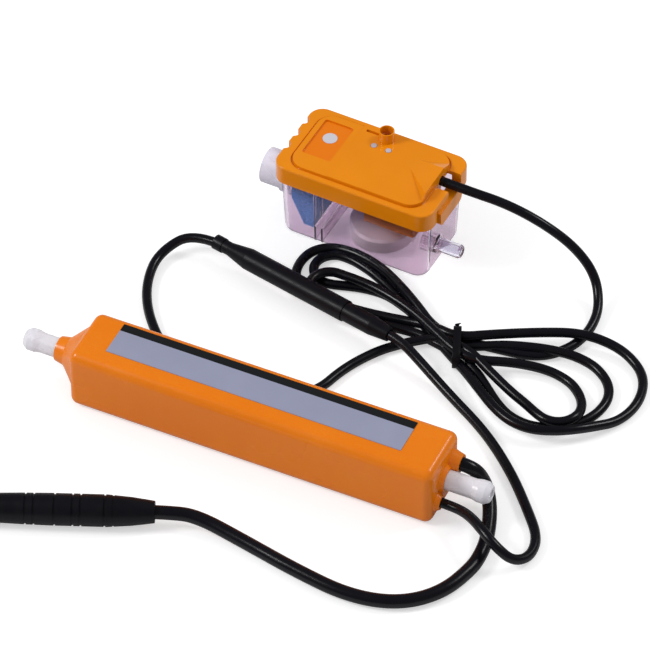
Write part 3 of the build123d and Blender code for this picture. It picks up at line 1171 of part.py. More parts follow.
def main():
    base, cover = inner_case()
    hank = hank_body()
    nodes = {
        "casing_coat": casing_coat(),
        "rating_label": rating_label(),
        "inner_case_base": base,
        "inner_case_cover": cover,
        "discharge_spigot": spigot(SPIGOT_REACH),
        "suction_spigot": Rot(0, 0, 180) * spigot(SPIGOT_REACH + SUCTION_EXTRA),
        "inlet_hose": hose(-CAVITY_END_X + FLANGE_THICKNESS + 2 * SNUG, GUIDE_LEFT_X - SNUG),
        "outlet_hose": hose(BODY_RIGHT_X + CAP_FLANGE + 2 * SNUG, CAVITY_END_X - FLANGE_THICKNESS - 2 * SNUG),
        "guide_tube": guide_tube(),
        "coil_bobbin": coil_bobbin(),
        "coil_winding": coil_winding(),
        "pole_rings": pole_rings(),
        "magnet_yoke": magnet_yoke(),
        "thermal_cutout": thermal_cutout(),
        "plunger": plunger(),
        "piston_rod": piston_rod(),
        "plunger_spring": plunger_spring(),
        "buffer_spring": buffer_spring(),
        "cylinder_body": cylinder_body(),
        "cylinder_cap": cylinder_cap(),
        "piston_seals": piston_seals(),
        "inlet_valve": inlet_valve(),
        "outlet_valve": outlet_valve(),
        "outlet_valve_spring": outlet_valve_spring(),
        "vibration_mounts": vibration_mounts(),
        "control_board": control_board(),
        "board_components": board_components(),
        "tank": tank(),
        "filter_block": filter_block(),
        "float_disc": float_disc(),
        "float_magnet": float_magnet(),
        "lid": lid(),
        "lid_pins": lid_pins(),
        "inspection_sticker": inspection_sticker(),
        "sensor_housing": sensor_housing(),
        "sensor_board": sensor_board(),
        "sensor_chips": sensor_chips(),
        "potting_resin": potting_resin(),
        "socket_collar": socket_collar(),
        "sensor_socket": sensor_socket(),
        "contact_pins": contact_pins(),
        "control_plug": control_plug(),
        "plug_seal": plug_seal(),
        "power_connector": power_connector(),
        "power_connector_pins": power_connector_pins(),
        "power_lead": power_lead(),
        "control_lead": control_lead(),
        "sensor_lead_plug_end": sensor_lead_plug_end(hank),
        "sensor_lead_hank": hank,
        "sensor_lead_tank_end": sensor_lead_tank_end(hank),
        "hank_tie": hank_tie(),
    }
    os.makedirs("parts", exist_ok=True)
    for name, solid in nodes.items():
        export_step(solid, f"parts/{name}.step")
    print(len(nodes), "nodes")


main()
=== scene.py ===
import json
import math

import bpy
from mathutils import Matrix, Vector


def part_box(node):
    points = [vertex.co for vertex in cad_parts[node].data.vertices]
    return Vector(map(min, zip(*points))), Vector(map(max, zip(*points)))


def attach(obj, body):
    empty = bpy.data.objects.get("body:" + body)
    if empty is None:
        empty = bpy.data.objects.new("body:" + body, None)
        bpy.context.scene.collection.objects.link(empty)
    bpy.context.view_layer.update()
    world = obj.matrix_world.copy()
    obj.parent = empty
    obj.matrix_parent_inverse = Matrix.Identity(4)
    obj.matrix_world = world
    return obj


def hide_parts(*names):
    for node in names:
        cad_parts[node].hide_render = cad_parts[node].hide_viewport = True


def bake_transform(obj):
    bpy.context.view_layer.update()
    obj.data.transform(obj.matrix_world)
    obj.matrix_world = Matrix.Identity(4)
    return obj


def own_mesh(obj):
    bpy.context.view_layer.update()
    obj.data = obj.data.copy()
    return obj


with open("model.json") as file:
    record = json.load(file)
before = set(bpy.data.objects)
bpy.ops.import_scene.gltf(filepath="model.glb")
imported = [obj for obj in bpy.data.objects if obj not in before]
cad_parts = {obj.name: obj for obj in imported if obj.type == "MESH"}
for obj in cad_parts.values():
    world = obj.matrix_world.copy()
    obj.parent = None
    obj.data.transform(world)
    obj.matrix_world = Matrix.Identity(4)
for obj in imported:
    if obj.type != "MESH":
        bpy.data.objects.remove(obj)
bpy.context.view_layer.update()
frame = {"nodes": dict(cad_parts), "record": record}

MM = 0.001               # lengths below are in millimetres, as in the CAD
nodes = frame["nodes"]


# Camera at the photograph's viewing angle
CAMERA_TURN, CAMERA_RISE = 25.0, 45.3    # degrees
CAMERA_LENS, SENSOR_WIDTH = 293.7, 36
CAMERA_DISTANCE = 2.2                    # metres
AIM_RIGHT, AIM_UP = 25.9, 48.5           # from the origin, across and up the picture


def photo_camera():
    """A long lens that looks down on the object as the photograph does."""
    turn, rise = math.radians(CAMERA_TURN), math.radians(CAMERA_RISE)
    right = Vector((math.cos(turn), math.sin(turn), 0))
    back = Vector((math.sin(turn) * math.cos(rise),
                   -math.cos(turn) * math.cos(rise),
                   math.sin(rise)))
    up = back.cross(right)
    data = bpy.data.cameras.new("photo_camera")
    data.lens, data.sensor_width = CAMERA_LENS, SENSOR_WIDTH
    data.clip_start, data.clip_end = 0.05, 50
    camera = bpy.data.objects.new("photo_camera", data)
    bpy.context.scene.collection.objects.link(camera)
    place = right * AIM_RIGHT * MM + up * AIM_UP * MM + back * CAMERA_DISTANCE
    facing = Matrix((right, up, back)).transposed().to_4x4()
    camera.matrix_world = Matrix.Translation(place) @ facing
    bpy.context.scene.camera = camera


photo_camera()


# Leads: one smooth line through each route of the CAD
def lead_curve(name, points, radius):
    """A round curve whose control points are the given ones, in millimetres."""
    curve = bpy.data.curves.new(name, "CURVE")
    curve.dimensions = "3D"
    line = curve.splines.new("NURBS")
    line.points.add(len(points) - 1)
    for knot, point in zip(line.points, points):
        knot.co = (point[0] * MM, point[1] * MM, point[2] * MM, 1)
    line.order_u = 3
    line.use_endpoint_u = True
    line.resolution_u = 10
    curve.bevel_depth = radius * MM
    curve.bevel_resolution = 5
    curve.use_fill_caps = True
    lead = bpy.data.objects.new(name, curve)
    bpy.context.scene.collection.objects.link(lead)
    return lead


def mesh_of(curve_object):
    """The mesh that a curve object shows."""
    bpy.context.view_layer.update()
    evaluated = curve_object.evaluated_get(bpy.context.evaluated_depsgraph_get())
    return bpy.data.meshes.new_from_object(evaluated)


def centreline(points):
    """Points read from the route's own smooth line, in metres."""
    line = lead_curve("line", points, 0)
    mesh = mesh_of(line)
    path = [vertex.co.copy() for vertex in mesh.vertices]
    bpy.data.objects.remove(line)
    return path


def lead_tube(name, points, radius):
    """The same lead as a mesh tube with smooth sides."""
    curved = lead_curve(name + "_line", points, radius)
    tube = bpy.data.objects.new(name, mesh_of(curved))
    bpy.context.scene.collection.objects.link(tube)
    bpy.data.objects.remove(curved)
    for face in tube.data.polygons:
        face.use_smooth = True
    return tube


POWER_ROUTE = [
    (78.95, 7.5, 18.5), (83, 7.5, 18.5), (88.3, 7.5, 18.5), (92.9, 8.6, 16.2),
    (96.2, 9.2, 10.8), (99.6, 6.2, 6.9), (103.6, -1.2, 4.6), (107.2, -12, 3.2),
    (108.5, -21, 3.05), (108.3, -30.5, 3.05), (102.5, -48, 3.05), (89, -60.5, 3.05),
    (69, -65, 3.05), (44, -61.5, 3.05), (18, -56, 3.05), (-4.33, -53.31, 5.3),
    (-15.39, -57.96, 6.8), (-24.47, -61.78, 6.8),
]
CONTROL_ROUTE = [
    (78.95, -7.2, 8.5), (90, -7.2, 8.7), (99, -11.5, 11.5), (108, -18.5, 13),
    (115.5, -22.5, 11), (122.5, -21.5, 5), (127, -14, 2.2), (125.5, -3, 2.2), (116, 9, 2.2),
    (101, 26, 2.2), (82, 42.5, 2.2), (60, 55.5, 2.4), (42, 65, 6), (31.32, 69.55, 9.2),
    (20.72, 71.85, 9.2),
]
FROM_LID = [
    (10.83, 137.11, 39.2), (31.81, 136.2, 38.8), (49, 137.6, 37), (66, 138.5, 31.5),
    (80, 141, 21), (90.5, 139.5, 10), (97, 129, 3.2), (98.5, 117, 2.2), (96.8, 107.5, 2.1),
    (93.9, 101, 2.1), (88, 94, 2.1), (79.5, 90.1, 2.1), (66, 88.6, 2.2), (49.6, 86.4, 2.3),
]
LEFT_OUTER = [
    (38, 87.2, 4.6), (27.5, 94.5, 6.3), (15.1, 103, 6.2), (3.5, 109.8, 5.4), (-9.6, 114, 4.3),
    (-21, 114.6, 2.8), (-28.5, 109.5, 2.1), (-30.5, 100.5, 2.1), (-28.6, 92, 2.1),
    (-21.5, 86, 2.1), (-10, 84.3, 2.1), (4, 84.6, 2.1), (16.9, 86.1, 2.1), (28, 87.2, 3),
    (38.5, 87, 5), (50.4, 84.4, 5.9),
]
RIGHT_OUTER = [
    (64.5, 92.6, 6.2), (81.1, 101.4, 6.4), (97.4, 108.6, 6.4), (113.6, 109.6, 4.3),
    (126, 104, 2.2), (132, 94.6, 2.1), (133.4, 82.1, 2.1), (129.6, 70.8, 2.1), (123, 63, 4),
    (116.2, 55.6, 6), (108.6, 50.8, 6.4), (99.6, 47.8, 6.4), (90.2, 48.6, 6.4),
    (80.7, 53.4, 6.2), (70.4, 61.4, 5.6), (61.5, 69, 4), (54.4, 74.6, 2.3),
]
LEFT_MIDDLE = [
    (41, 83.5, 2.2), (25, 94, 2.1), (12.7, 101.9, 2.1), (1.4, 107.8, 2.1), (-7.5, 110.8, 2.1),
    (-12.6, 111.6, 2.1), (-17.4, 111.6, 2.1), (-21.4, 109.2, 2.1), (-23.8, 105.2, 2.1),
    (-23.8, 100.4, 2.1), (-21.4, 96.4, 2.1), (-17.4, 94, 2.1), (-12.6, 94, 2.1),
    (-7.5, 95.6, 2.1), (1, 98, 2.1), (11.3, 98.6, 2.1), (21.6, 95, 2.1), (33, 89.6, 2.2),
    (41.5, 85.2, 2.3), (51.2, 82.5, 2.3),
]
RIGHT_MIDDLE = [
    (60, 86.6, 2.6), (73, 91.6, 4.3), (92.8, 97, 4.3), (106.8, 97, 3), (116, 91.8, 2.1),
    (120.6, 84.4, 2.1), (121.2, 76.2, 2.1), (118.6, 67.6, 2.1), (113, 60.4, 2.1),
    (106.4, 56, 2.1), (97.2, 53.2, 2.1), (87.8, 54.6, 2.1), (79.3, 60, 2.1), (71.5, 67, 2.1),
    (63.5, 73.8, 2.2), (52.8, 78.5, 2.3),
]
LEFT_INNER = [
    (42, 80.8, 2.6), (33, 82.6, 2.4), (24, 82.2, 2.1), (14, 80.8, 2.1), (3, 79.8, 2.1),
    (-3, 79.7, 2.2), (-8.1, 79.9, 2.7), (-12.9, 79.9, 4), (-16.9, 82.3, 5.6),
    (-19.3, 86.3, 6.5), (-19.3, 91.1, 6.6), (-16.9, 95.1, 6.6), (-12.9, 97.5, 6.5),
    (-8.1, 97.5, 6.4), (-1, 97.3, 6.4), (7, 96.5, 6.3), (19, 93.4, 6.4), (31, 88.6, 6.5),
    (41.5, 83, 6.3), (53.6, 76.6, 6),
]
RIGHT_INNER = [
    (63.6, 75.4, 6), (77, 82, 4.6), (91.6, 85.8, 3), (102.4, 84, 2.2), (108.5, 79.4, 2.2),
    (112.2, 74.2, 3), (114.1, 68.8, 4.6), (114.6, 63.7, 6.2), (112.4, 59.1, 6.3),
    (108.2, 56.2, 6.3), (103.2, 55.8, 6.2), (98.7, 57.6, 5.9), (91.5, 62, 5), (83.3, 65.9, 4.6),
    (69.6, 73, 5.6), (61, 78, 6.2), (52, 80.5, 6.2),
]
TO_SOCKET = [
    (43.2, 82.6, 4.6), (34.4, 78.4, 2.4), (28.2, 73, 2.15), (21.5, 65.5, 2.15),
    (13.5, 51, 2.15), (9, 34, 2.15), (-4, 22.5, 2.15), (-24, 18.9, 2.15), (-45, 20.5, 2.15),
    (-62, 31, 2.15), (-76, 46, 2.15), (-84.5, 62, 2.15), (-87, 79, 3.6), (-75.85, 92.72, 9.2),
    (-55.81, 88.39, 9.2),
]
SENSOR_ROUTE = (FROM_LID + LEFT_OUTER + RIGHT_OUTER + LEFT_MIDDLE + RIGHT_MIDDLE
                + LEFT_INNER + RIGHT_INNER + TO_SOCKET)

power_path = centreline(POWER_ROUTE)
power_lead = lead_tube("power_lead_jacket", POWER_ROUTE, radius=3.0)
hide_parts("power_lead")
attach(power_lead, "base")

control_path = centreline(CONTROL_ROUTE)
control_lead = lead_tube("control_lead_jacket", CONTROL_ROUTE, radius=2.15)
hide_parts("control_lead")
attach(control_lead, "base")

sensor_path = centreline(SENSOR_ROUTE)
sensor_lead = lead_tube("sensor_lead_jacket", SENSOR_ROUTE, radius=2.1)
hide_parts("sensor_lead_tank_end", "sensor_lead_hank", "sensor_lead_plug_end")
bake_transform(sensor_lead)


# Tie round the hank
BUNDLE_TURN = 21.8       # degrees from X to the run of the turns
BAND_SIZE = (3.4, 20.4, 8.9)
BAND_PLACE = (52.3, 80.4, 4.45)
BAND_CORNER, BAND_WALL, BAND_EDGE = 4.1, 0.6, 0.2
ENDS_SIZE = (2.8, 1.0, 3.6)
ENDS_PLACE = (49, 88.9, 6.9)
ENDS_EDGE = 0.15
ENDS_TWIST, ENDS_TIP = 300, -70
SMOOTH_BELOW = math.radians(40)


def box_piece(name, size):
    """A box round the origin, ready to be shaped."""
    bpy.ops.object.select_all(action="DESELECT")
    bpy.ops.mesh.primitive_cube_add(size=1, location=(0, 0, 0))
    piece = bpy.context.object
    piece.name = name
    piece.scale = [side * MM for side in size]
    bpy.ops.object.transform_apply(location=False, rotation=False, scale=True)
    return piece


def pick(piece, kind, chosen):
    """Goes into edit mode with the chosen faces or edges of a piece selected, and no others."""
    bpy.ops.object.mode_set(mode="EDIT")
    bpy.ops.mesh.select_mode(type=kind)
    bpy.ops.mesh.select_all(action="DESELECT")
    bpy.ops.object.mode_set(mode="OBJECT")
    for item in piece.data.polygons if kind == "FACE" else piece.data.edges:
        item.select = chosen(item)
    bpy.ops.object.mode_set(mode="EDIT")


def tie_band():
    """Flat loop round the bundle of turns."""
    band = box_piece("hank_tie_band", BAND_SIZE)
    pick(band, "FACE", lambda face: abs(face.normal.x) > 0.9)
    bpy.ops.mesh.delete(type="ONLY_FACE")
    bpy.ops.object.mode_set(mode="OBJECT")
    points = band.data.vertices
    pick(band, "EDGE",
         lambda edge: points[edge.vertices[0]].co.x * points[edge.vertices[1]].co.x < 0)
    bpy.ops.mesh.bevel(offset=BAND_CORNER * MM, segments=7)
    bpy.ops.object.mode_set(mode="OBJECT")
    wall = band.modifiers.new("wall", "SOLIDIFY")
    wall.thickness, wall.offset = BAND_WALL * MM, 0
    finish_mesh(band, BAND_EDGE)
    return put_on_bundle(band, BAND_PLACE, 0)


def tie_ends():
    """The tie's two ends, twisted together beside the bundle."""
    ends = box_piece("hank_tie_ends", ENDS_SIZE)
    bpy.ops.object.mode_set(mode="EDIT")
    bpy.ops.mesh.select_all(action="SELECT")
    bpy.ops.mesh.subdivide(number_cuts=15)
    bpy.ops.object.mode_set(mode="OBJECT")
    twist = ends.modifiers.new("twist", "SIMPLE_DEFORM")
    twist.deform_method, twist.deform_axis, twist.angle = "TWIST", "Z", math.radians(ENDS_TWIST)
    finish_mesh(ends, ENDS_EDGE)
    return put_on_bundle(ends, ENDS_PLACE, ENDS_TIP)


def finish_mesh(piece, edge):
    """Rounds a piece's edges, applies its modifiers in order and smooths it."""
    rounding = piece.modifiers.new("edges", "BEVEL")
    rounding.width, rounding.segments, rounding.limit_method = edge * MM, 2, "ANGLE"
    for name in [modifier.name for modifier in piece.modifiers]:
        bpy.ops.object.modifier_apply(modifier=name)
    bpy.ops.object.shade_smooth_by_angle(angle=SMOOTH_BELOW)


def put_on_bundle(piece, place, tip):
    """Tips a piece, turns it square to the bundle and leaves its origin at the object's."""
    piece.rotation_euler = (math.radians(tip), 0, math.radians(BUNDLE_TURN))
    piece.location = [along * MM for along in place]
    bpy.ops.object.transform_apply(location=True, rotation=True, scale=False)
    return piece


hank_tie_band = tie_band()
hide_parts("hank_tie")
hank_tie_ends = tie_ends()
for tie in (hank_tie_band, hank_tie_ends):
    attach(tie, "base")


# Springs: the CAD's coils again, as tube pieces attached to the base
TURN_STEPS = 12          # route points in each turn
PUMP_AXIS_Z = 15


def coil_route(left, right, radius, wire, turns):
    """Points of a coil on the pump's axis between two faces."""
    first, last = left + wire / 2, right - wire / 2
    radius = radius / math.cos(math.pi / TURN_STEPS)
    route = []
    for step in range(turns * TURN_STEPS + 1):
        angle = 2 * math.pi * step / TURN_STEPS
        along = first + (last - first) * step / (turns * TURN_STEPS)
        route.append((along, radius * math.sin(angle), PUMP_AXIS_Z + radius * math.cos(angle)))
    return route


def soft_spring(node, left, right, radius, wire, turns):
    """A spring coil as a tube on the pump's axis, attached to the base."""
    spring = lead_tube(node + "_coil", coil_route(left, right, radius, wire, turns), wire / 2)
    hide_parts(node)
    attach(spring, "base")
    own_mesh(spring)
    return spring


plunger_coil = soft_spring("plunger_spring", -59.65, -42.15, radius=3.15, wire=0.7, turns=5)
outlet_coil = soft_spring("outlet_valve_spring", 11.4, 15.35, radius=1.9, wire=0.4, turns=3)


# Finishes
ORANGE = (0.82, 0.255, 0.003)
TANK_MIDDLE, TANK_TURN = (-11.85, 133.5), -2.5     # the float chamber's own frame
SPIGOTS_BEYOND = 36.2                              # from its middle, along its X
PANEL_MIDDLE, PANEL_HALF = (-22.25, 2.6), (6.8, 11.45)
PANEL_ABOVE = 40.2
LABEL_BAND_SHARE = 0.235                           # of the label's width


def new_finish(name, colour, roughness):
    """A material and its main shader, with the values that are the same all over."""
    material = bpy.data.materials.new(name)
    material.use_nodes = True
    shader = material.node_tree.nodes["Principled BSDF"]
    shader.inputs["Base Color"].default_value = (*colour, 1)
    shader.inputs["Roughness"].default_value = roughness
    return material, shader


def texture(material, kind, scale, detail=2.0, stretch=(1, 1, 1)):
    """A procedural texture on the piece's own place in the object, in metres."""
    tree = material.node_tree
    place = tree.nodes.new("ShaderNodeTexCoord")
    mapping = tree.nodes.new("ShaderNodeMapping")
    mapping.inputs["Scale"].default_value = stretch
    pattern = tree.nodes.new(kind)
    pattern.inputs["Scale"].default_value = scale
    if "Detail" in pattern.inputs:
        pattern.inputs["Detail"].default_value = detail
    tree.links.new(place.outputs["Object"], mapping.inputs["Vector"])
    tree.links.new(mapping.outputs["Vector"], pattern.inputs["Vector"])
    return pattern


def ramp(material, source, stops):
    """Colours or greys laid over a pattern from its low to its high values."""
    node = material.node_tree.nodes.new("ShaderNodeValToRGB")
    material.node_tree.links.new(source, node.inputs["Fac"])
    while len(node.color_ramp.elements) < len(stops):
        node.color_ramp.elements.new(0.5)
    for element, (place, colour) in zip(node.color_ramp.elements, stops):
        element.position = place
        element.color = (*colour, 1) if len(colour) == 3 else colour
    return node.outputs["Color"]


def tank_place(material):
    """X, Y and Z along the float chamber's own sides, in metres from its middle."""
    tree = material.node_tree
    place = tree.nodes.new("ShaderNodeTexCoord")
    mapping = tree.nodes.new("ShaderNodeMapping")
    mapping.vector_type = "TEXTURE"
    mapping.inputs["Location"].default_value = (TANK_MIDDLE[0] * MM, TANK_MIDDLE[1] * MM, 0)
    mapping.inputs["Rotation"].default_value = (0, 0, math.radians(TANK_TURN))
    split = tree.nodes.new("ShaderNodeSeparateXYZ")
    tree.links.new(place.outputs["Object"], mapping.inputs["Vector"])
    tree.links.new(mapping.outputs["Vector"], split.inputs["Vector"])
    return split


def math_node(material, operation, source, *values):
    """A Math node on a socket, with numbers or sockets as its other inputs."""
    tree = material.node_tree
    node = tree.nodes.new("ShaderNodeMath")
    node.operation = operation
    tree.links.new(source, node.inputs[0])
    for socket, value in zip(node.inputs[1:], values):
        if isinstance(value, (int, float)):
            socket.default_value = value
        else:
            tree.links.new(value, socket)
    return node.outputs[0]


def mixed(material, factor, first, second):
    """Colour that goes from first to second with the factor."""
    tree = material.node_tree
    mix = tree.nodes.new("ShaderNodeMix")
    mix.data_type = "RGBA"
    tree.links.new(factor, mix.inputs["Factor"])
    for name, value in (("A", first), ("B", second)):
        if isinstance(value, tuple):
            mix.inputs[name].default_value = (*value, 1)
        else:
            tree.links.new(value, mix.inputs[name])
    return mix.outputs["Result"]


def grey(value):
    """A grey as a colour."""
    return (value, value, value)


def shaded(colour, share):
    """The colour at a share of its brightness."""
    return tuple(channel * share for channel in colour)


def bump(material, shader, source, height, strength=1.0, under=None):
    """Raises the surface by a pattern; height is in metres."""
    tree = material.node_tree
    node = tree.nodes.new("ShaderNodeBump")
    node.inputs["Distance"].default_value = height
    node.inputs["Strength"].default_value = strength
    tree.links.new(source, node.inputs["Height"])
    if under:
        tree.links.new(under.outputs["Normal"], node.inputs["Normal"])
    tree.links.new(node.outputs["Normal"], shader.inputs["Normal"])
    return node


def moulded(name, colour, roughness, mottle=0.94, grain_scale=2600, grain_height=0.00001):
    """Moulded plastic: faint cloudiness, uneven gloss and a fine skin."""
    material, shader = new_finish(name, colour, roughness)
    tree = material.node_tree
    cloud = texture(material, "ShaderNodeTexNoise", 45, 3)
    tint = ramp(material, cloud.outputs["Fac"], [(0.35, shaded(colour, mottle)), (0.65, colour)])
    tree.links.new(tint, shader.inputs["Base Color"])
    smear = texture(material, "ShaderNodeTexNoise", 160, 2)
    gloss = ramp(material, smear.outputs["Fac"],
                 [(0.3, grey(roughness * 0.85)), (0.75, grey(roughness * 1.2))])
    tree.links.new(gloss, shader.inputs["Roughness"])
    grain = texture(material, "ShaderNodeTexNoise", grain_scale, 1)
    bump(material, shader, grain.outputs["Fac"], grain_height, 0.6)
    return material, shader


def metal(name, colour, roughness, turning=(1, 1, 1), lines=1800):
    """Machined metal with fine tool lines across the stretched direction."""
    material, shader = new_finish(name, colour, roughness)
    shader.inputs["Metallic"].default_value = 1
    tree = material.node_tree
    streaks = texture(material, "ShaderNodeTexNoise", lines, 2, turning)
    tint = ramp(material, streaks.outputs["Fac"], [(0.3, shaded(colour, 0.82)), (0.7, colour)])
    tree.links.new(tint, shader.inputs["Base Color"])
    gloss = ramp(material, streaks.outputs["Fac"],
                 [(0.3, grey(roughness * 1.3)), (0.7, grey(roughness * 0.8))])
    tree.links.new(gloss, shader.inputs["Roughness"])
    bump(material, shader, streaks.outputs["Fac"], 0.00001, 0.5)
    return material


def coat_vinyl():
    """Soft dipped vinyl: slow waves from the dip, deep gloss and fine dust."""
    colour = (0.83, 0.21, 0.002)
    material, shader = new_finish("coat_vinyl", colour, 0.24)
    shader.inputs["Specular IOR Level"].default_value = 0.3
    shader.inputs["Coat Weight"].default_value = 0.15
    shader.inputs["Coat Roughness"].default_value = 0.1
    shader.inputs["Subsurface Weight"].default_value = 0.12
    shader.inputs["Subsurface Radius"].default_value = (0.9, 0.3, 0.1)
    shader.inputs["Subsurface Scale"].default_value = 0.002
    tree = material.node_tree
    cloud = texture(material, "ShaderNodeTexNoise", 28, 3)
    tint = ramp(material, cloud.outputs["Fac"], [(0.3, (0.79, 0.19, 0.002)), (0.7, colour)])
    tree.links.new(tint, shader.inputs["Base Color"])
    gloss = ramp(material, cloud.outputs["Fac"], [(0.3, grey(0.2)), (0.7, grey(0.3))])
    tree.links.new(gloss, shader.inputs["Roughness"])
    wave = texture(material, "ShaderNodeTexNoise", 55, 1, (0.5, 1, 1))
    slow = bump(material, shader, wave.outputs["Fac"], 0.0005, 0.35)
    dust = texture(material, "ShaderNodeTexNoise", 1500, 2)
    bump(material, shader, dust.outputs["Fac"], 0.00002, 0.4, slow)
    return material


def label_film():
    """Satin film with a dark band along its back edge and nothing printed on it."""
    film, band = (0.30, 0.315, 0.43), (0.006, 0.007, 0.008)
    material, shader = new_finish("label_film", film, 0.38)
    tree = material.node_tree
    place = tree.nodes.new("ShaderNodeTexCoord")
    across = tree.nodes.new("ShaderNodeSeparateXYZ")
    tree.links.new(place.outputs["Object"], across.inputs["Vector"])
    low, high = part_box("rating_label")
    edge = math_node(material, "GREATER_THAN", across.outputs["Y"],
                     float(high[1] - LABEL_BAND_SHARE * (high[1] - low[1])))
    cloud = texture(material, "ShaderNodeTexNoise", 60, 2)
    tint = ramp(material, cloud.outputs["Fac"], [(0.3, shaded(film, 0.93)), (0.7, film)])
    tree.links.new(mixed(material, edge, tint, band), shader.inputs["Base Color"])
    fibre = texture(material, "ShaderNodeTexNoise", 900, 2, (0.2, 1, 1))
    bump(material, shader, fibre.outputs["Fac"], 0.00002, 0.35)
    return material


def clear_moulding():
    """Clear violet tank plastic with slow waves, paler spigots and a milky inlet tube."""
    clear, milky = (0.79, 0.68, 0.78), (0.83, 0.81, 0.91)
    material, shader = new_finish("clear_moulding", clear, 0.05)
    shader.inputs["IOR"].default_value = 1.46
    tree = material.node_tree
    along = tank_place(material).outputs["X"]
    tube = math_node(material, "LESS_THAN", along, -SPIGOTS_BEYOND * MM)
    spigots = math_node(material, "GREATER_THAN", math_node(material, "ABSOLUTE", along),
                        SPIGOTS_BEYOND * MM)
    tree.links.new(mixed(material, spigots, clear, milky), shader.inputs["Base Color"])
    through = math_node(material, "MULTIPLY_ADD", tube, -0.72, 0.97)
    tree.links.new(through, shader.inputs["Transmission Weight"])
    rays = tree.nodes.new("ShaderNodeLightPath")
    lets_light = math_node(material, "MULTIPLY_ADD", rays.outputs["Is Shadow Ray"], -0.85, 1)
    tree.links.new(lets_light, shader.inputs["Alpha"])
    wave = texture(material, "ShaderNodeTexNoise", 90, 1)
    bump(material, shader, wave.outputs["Fac"], 0.0002, 0.25)
    gloss = ramp(material, wave.outputs["Fac"], [(0.3, grey(0.03)), (0.8, grey(0.09))])
    dull = math_node(material, "MULTIPLY_ADD", tube, 0.22, gloss)
    tree.links.new(dull, shader.inputs["Roughness"])
    return material


def lid_plastic():
    """Orange lid moulding, deeper in the sunk panel."""
    material, shader = moulded("lid_plastic", ORANGE, 0.17, 0.95)
    shader.inputs["Specular IOR Level"].default_value = 0.45
    tree = material.node_tree
    place = tank_place(material)
    along, across = (math_node(material, "COMPARE", place.outputs[axis], middle * MM, half * MM)
                     for axis, middle, half in zip("XY", PANEL_MIDDLE, PANEL_HALF))
    above = math_node(material, "GREATER_THAN", place.outputs["Z"], PANEL_ABOVE * MM)
    panel = math_node(material, "MULTIPLY", math_node(material, "MULTIPLY", along, across), above)
    plain = shader.inputs["Base Color"].links[0].from_socket
    tree.links.new(mixed(material, panel, plain, (0.80, 0.19, 0.002)), shader.inputs["Base Color"])
    return material


def milky_nylon():
    """Translucent white of the spigots."""
    material, shader = moulded("milky_nylon", (0.88, 0.86, 0.91), 0.27, 0.96)
    shader.inputs["Transmission Weight"].default_value = 0.12
    shader.inputs["Subsurface Weight"].default_value = 0.5
    shader.inputs["Subsurface Radius"].default_value = (1, 0.95, 1)
    shader.inputs["Subsurface Scale"].default_value = 0.003
    return material


def black_moulding():
    """Satin black plastic of the connectors."""
    material, shader = moulded("black_plastic", (0.005, 0.005, 0.008), 0.38, 0.8)
    shader.inputs["Specular IOR Level"].default_value = 0.18
    return material


def lead_vinyl():
    """Black lead jacket, glossy, with the faint lumps of the twisted cores."""
    material, shader = moulded("lead_vinyl", (0.004, 0.004, 0.007), 0.26, 0.8)
    shader.inputs["Specular IOR Level"].default_value = 0.3
    lumps = texture(material, "ShaderNodeTexNoise", 140, 1)
    bump(material, shader, lumps.outputs["Fac"], 0.0004, 0.3)
    return material


def open_foam():
    """Blue filter foam with open cells, and painted shade in the cell hollows."""
    material, shader = new_finish("open_foam", (0.05, 0.20, 0.62), 0.9)
    tree = material.node_tree
    cells = texture(material, "ShaderNodeTexVoronoi", 800)
    # painted shade: the cell hollows, which the bump below sinks, are coloured darker blue than
    # the cell walls
    tint = ramp(material, cells.outputs["Distance"],
                [(0.08, (0.008, 0.10, 0.42)), (0.5, (0.04, 0.34, 0.95))])
    tree.links.new(tint, shader.inputs["Base Color"])
    bump(material, shader, cells.outputs["Distance"], 0.0006, 0.9)
    return material


def wound_wire():
    """Enamelled copper turns side by side along the coil, with painted shade in the grooves
    between turns.
    """
    material, shader = new_finish("wound_wire", (0.52, 0.17, 0.06), 0.3)
    shader.inputs["Metallic"].default_value = 0.8
    tree = material.node_tree
    turns = texture(material, "ShaderNodeTexWave", 1400)
    turns.bands_direction = "X"
    # painted shade: the grooves between turns, which the bump below lowers, are coloured dark, and
    # the tops of the turns lighter
    tint = ramp(material, turns.outputs["Fac"],
                [(0.1, (0.22, 0.06, 0.02)), (0.6, (0.58, 0.20, 0.07))])
    tree.links.new(tint, shader.inputs["Base Color"])
    bump(material, shader, turns.outputs["Fac"], 0.0002, 0.8)
    return material


def board_lacquer():
    """Green lacquer over a faint pattern of tracks."""
    material, shader = new_finish("board_lacquer", (0.02, 0.16, 0.06), 0.3)
    tree = material.node_tree
    tracks = texture(material, "ShaderNodeTexBrick", 90)
    tracks.inputs["Color1"].default_value = (0.015, 0.13, 0.05, 1)
    tracks.inputs["Color2"].default_value = (0.02, 0.17, 0.065, 1)
    tracks.inputs["Mortar"].default_value = (0.05, 0.26, 0.11, 1)
    tree.links.new(tracks.outputs["Color"], shader.inputs["Base Color"])
    bump(material, shader, tracks.outputs["Fac"], 0.00004, 0.5)
    return material


